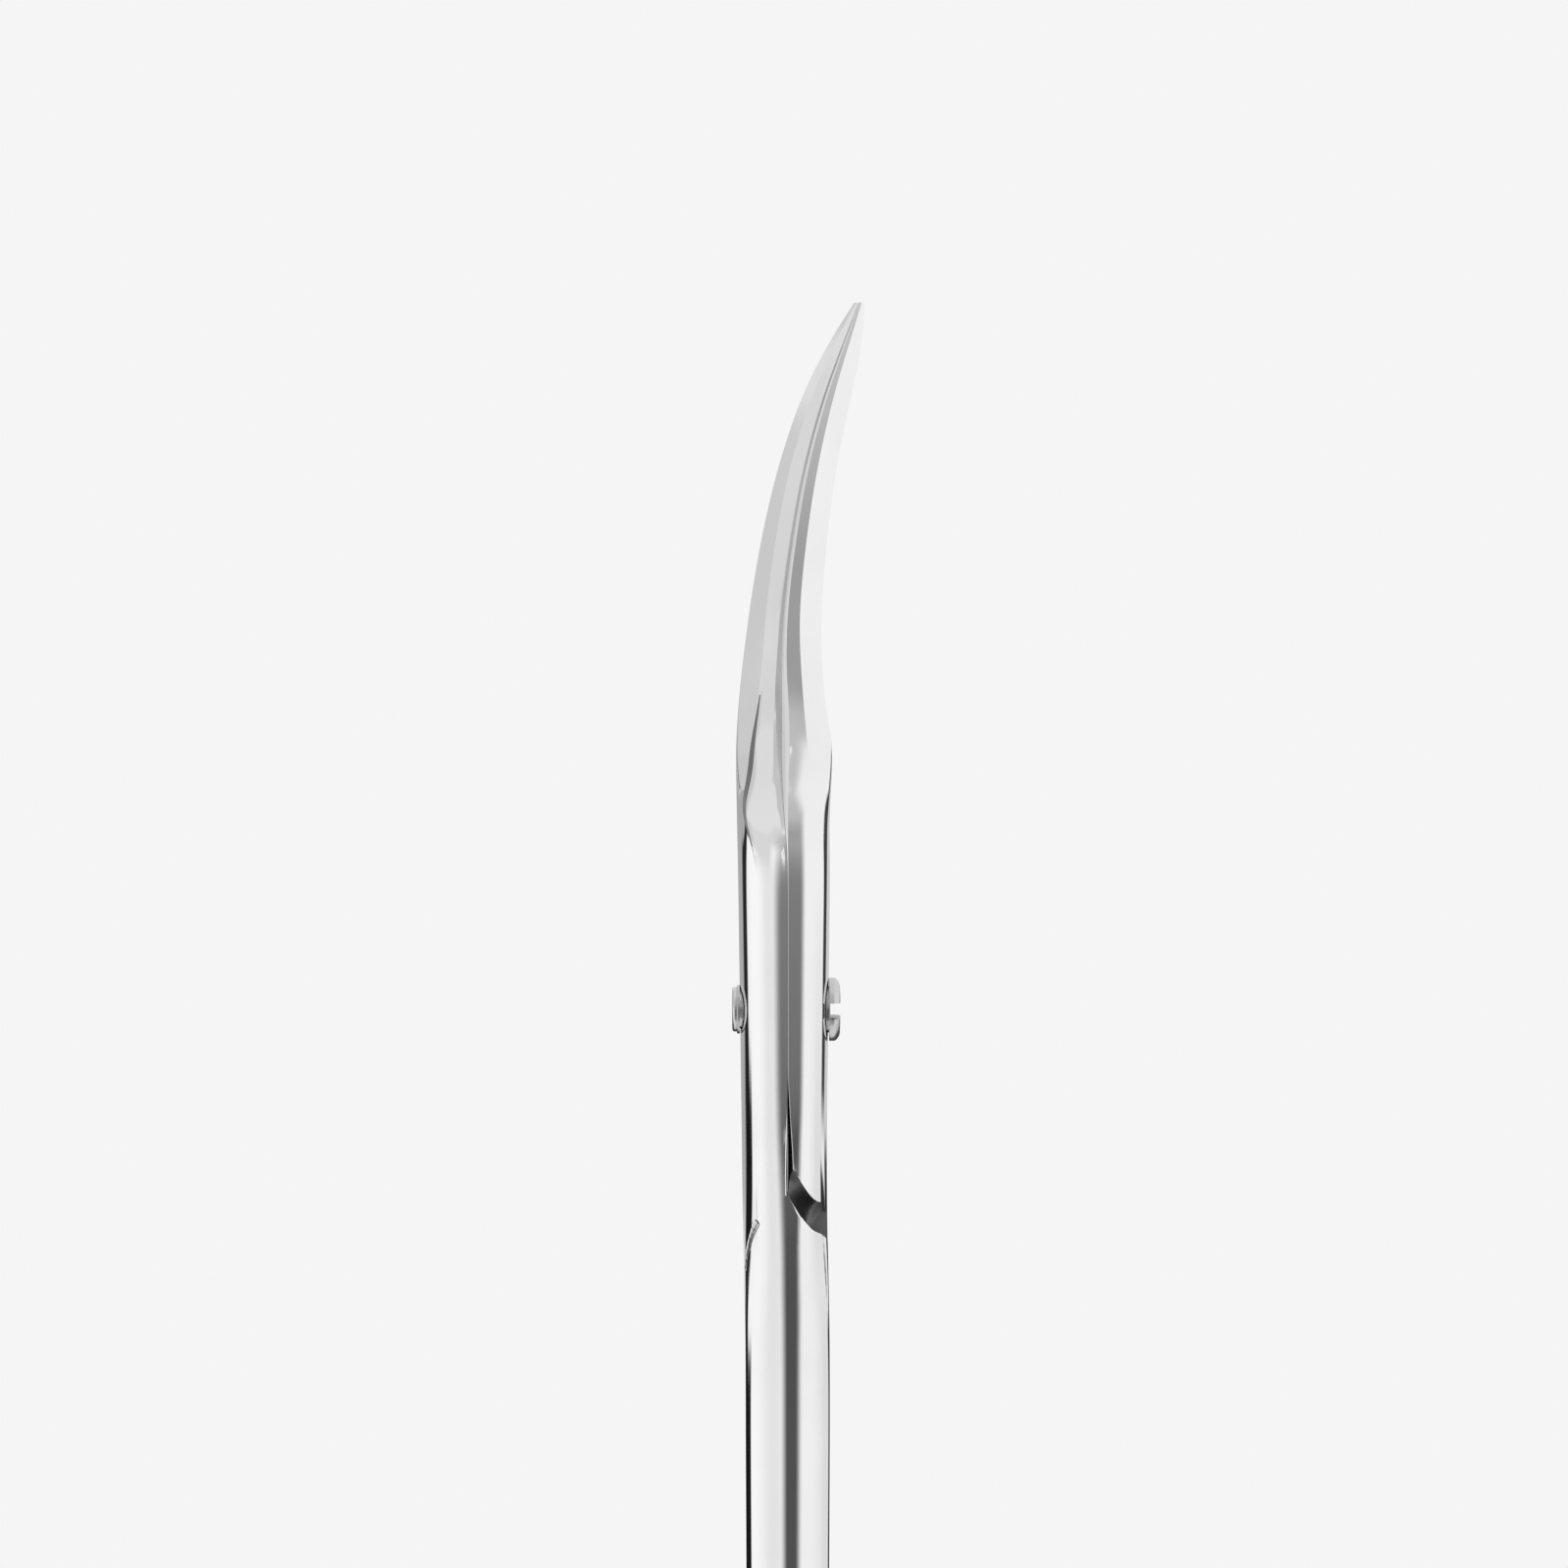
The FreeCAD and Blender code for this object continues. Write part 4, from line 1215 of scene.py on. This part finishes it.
def make_studio():
    """Even pale surroundings, a soft lamp overhead, and the light tent that gives the polish its lines."""
    world = bpy.data.worlds.new("studio")
    bpy.context.scene.world = world
    world.use_nodes = True
    background = world.node_tree.nodes["Background"]
    background.inputs["Color"].default_value = PALE
    background.inputs["Strength"].default_value = 1.0
    lamp_data = bpy.data.lights.new("overhead_lamp", "AREA")
    lamp_data.shape = "DISK"
    lamp_data.size = LAMP_WIDTH
    lamp_data.energy = LAMP_POWER
    lamp = link_object("overhead_lamp", lamp_data)
    lamp.location = LAMP_PLACE
    lamp.rotation_euler = (-lamp.location).to_track_quat("-Z", "Y").to_euler()
    lamp.visible_glossy = False
    make_tent()
    make_floor()


def make_camera():
    """Camera that looks along the width, with the tips up and the screw head to the right."""
    data = bpy.data.cameras.new("camera")
    data.sensor_width = SENSOR_WIDTH / MM
    data.lens = SENSOR_WIDTH / MM * VIEW_DISTANCE / VIEW_WIDTH
    data.clip_start = NEAREST_SEEN
    camera = link_object("camera", data)
    aim = Vector(VIEW_AIM)
    place = Vector((aim.x, aim.y + VIEW_DISTANCE, -FLOOR_SLOPE * aim.x))
    back = (place - aim).normalized()
    up = Vector((1, 0, 0))
    right = up.cross(back).normalized()
    turn = Matrix((right, back.cross(right), back)).transposed()
    camera.matrix_world = Matrix.Translation(place) @ turn.to_4x4()
    bpy.context.scene.camera = camera


def make_scissors():
    half_steels, screw_steel, washer_steel = make_steels()
    lower = make_half("lower_half_forged", 1, THREAD_WIDTH, half_steels)
    upper = make_half("upper_half_forged", -1, BEARING_WIDTH, half_steels)
    screw = make_screw([screw_steel, half_steels[FORGED_AND_SHADE]])
    washer = make_washer(washer_steel)
    for piece, body, node, slot in (
        (lower, "lower_body", "lower_half", "polished_steel"),
        (upper, "upper_body", "upper_half", "polished_steel"),
        (screw, "lower_body", "pivot_screw", "screw_steel"),
        (washer, "lower_body", "rivet_washer", "washer_steel"),
    ):
        piece.data.set_sharp_from_angle(angle=SMOOTH_ANGLE)
        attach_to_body(piece, body)
        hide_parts(node)


bpy.context.scene.view_settings.view_transform = "Standard"
make_scissors()
make_studio()
make_camera()
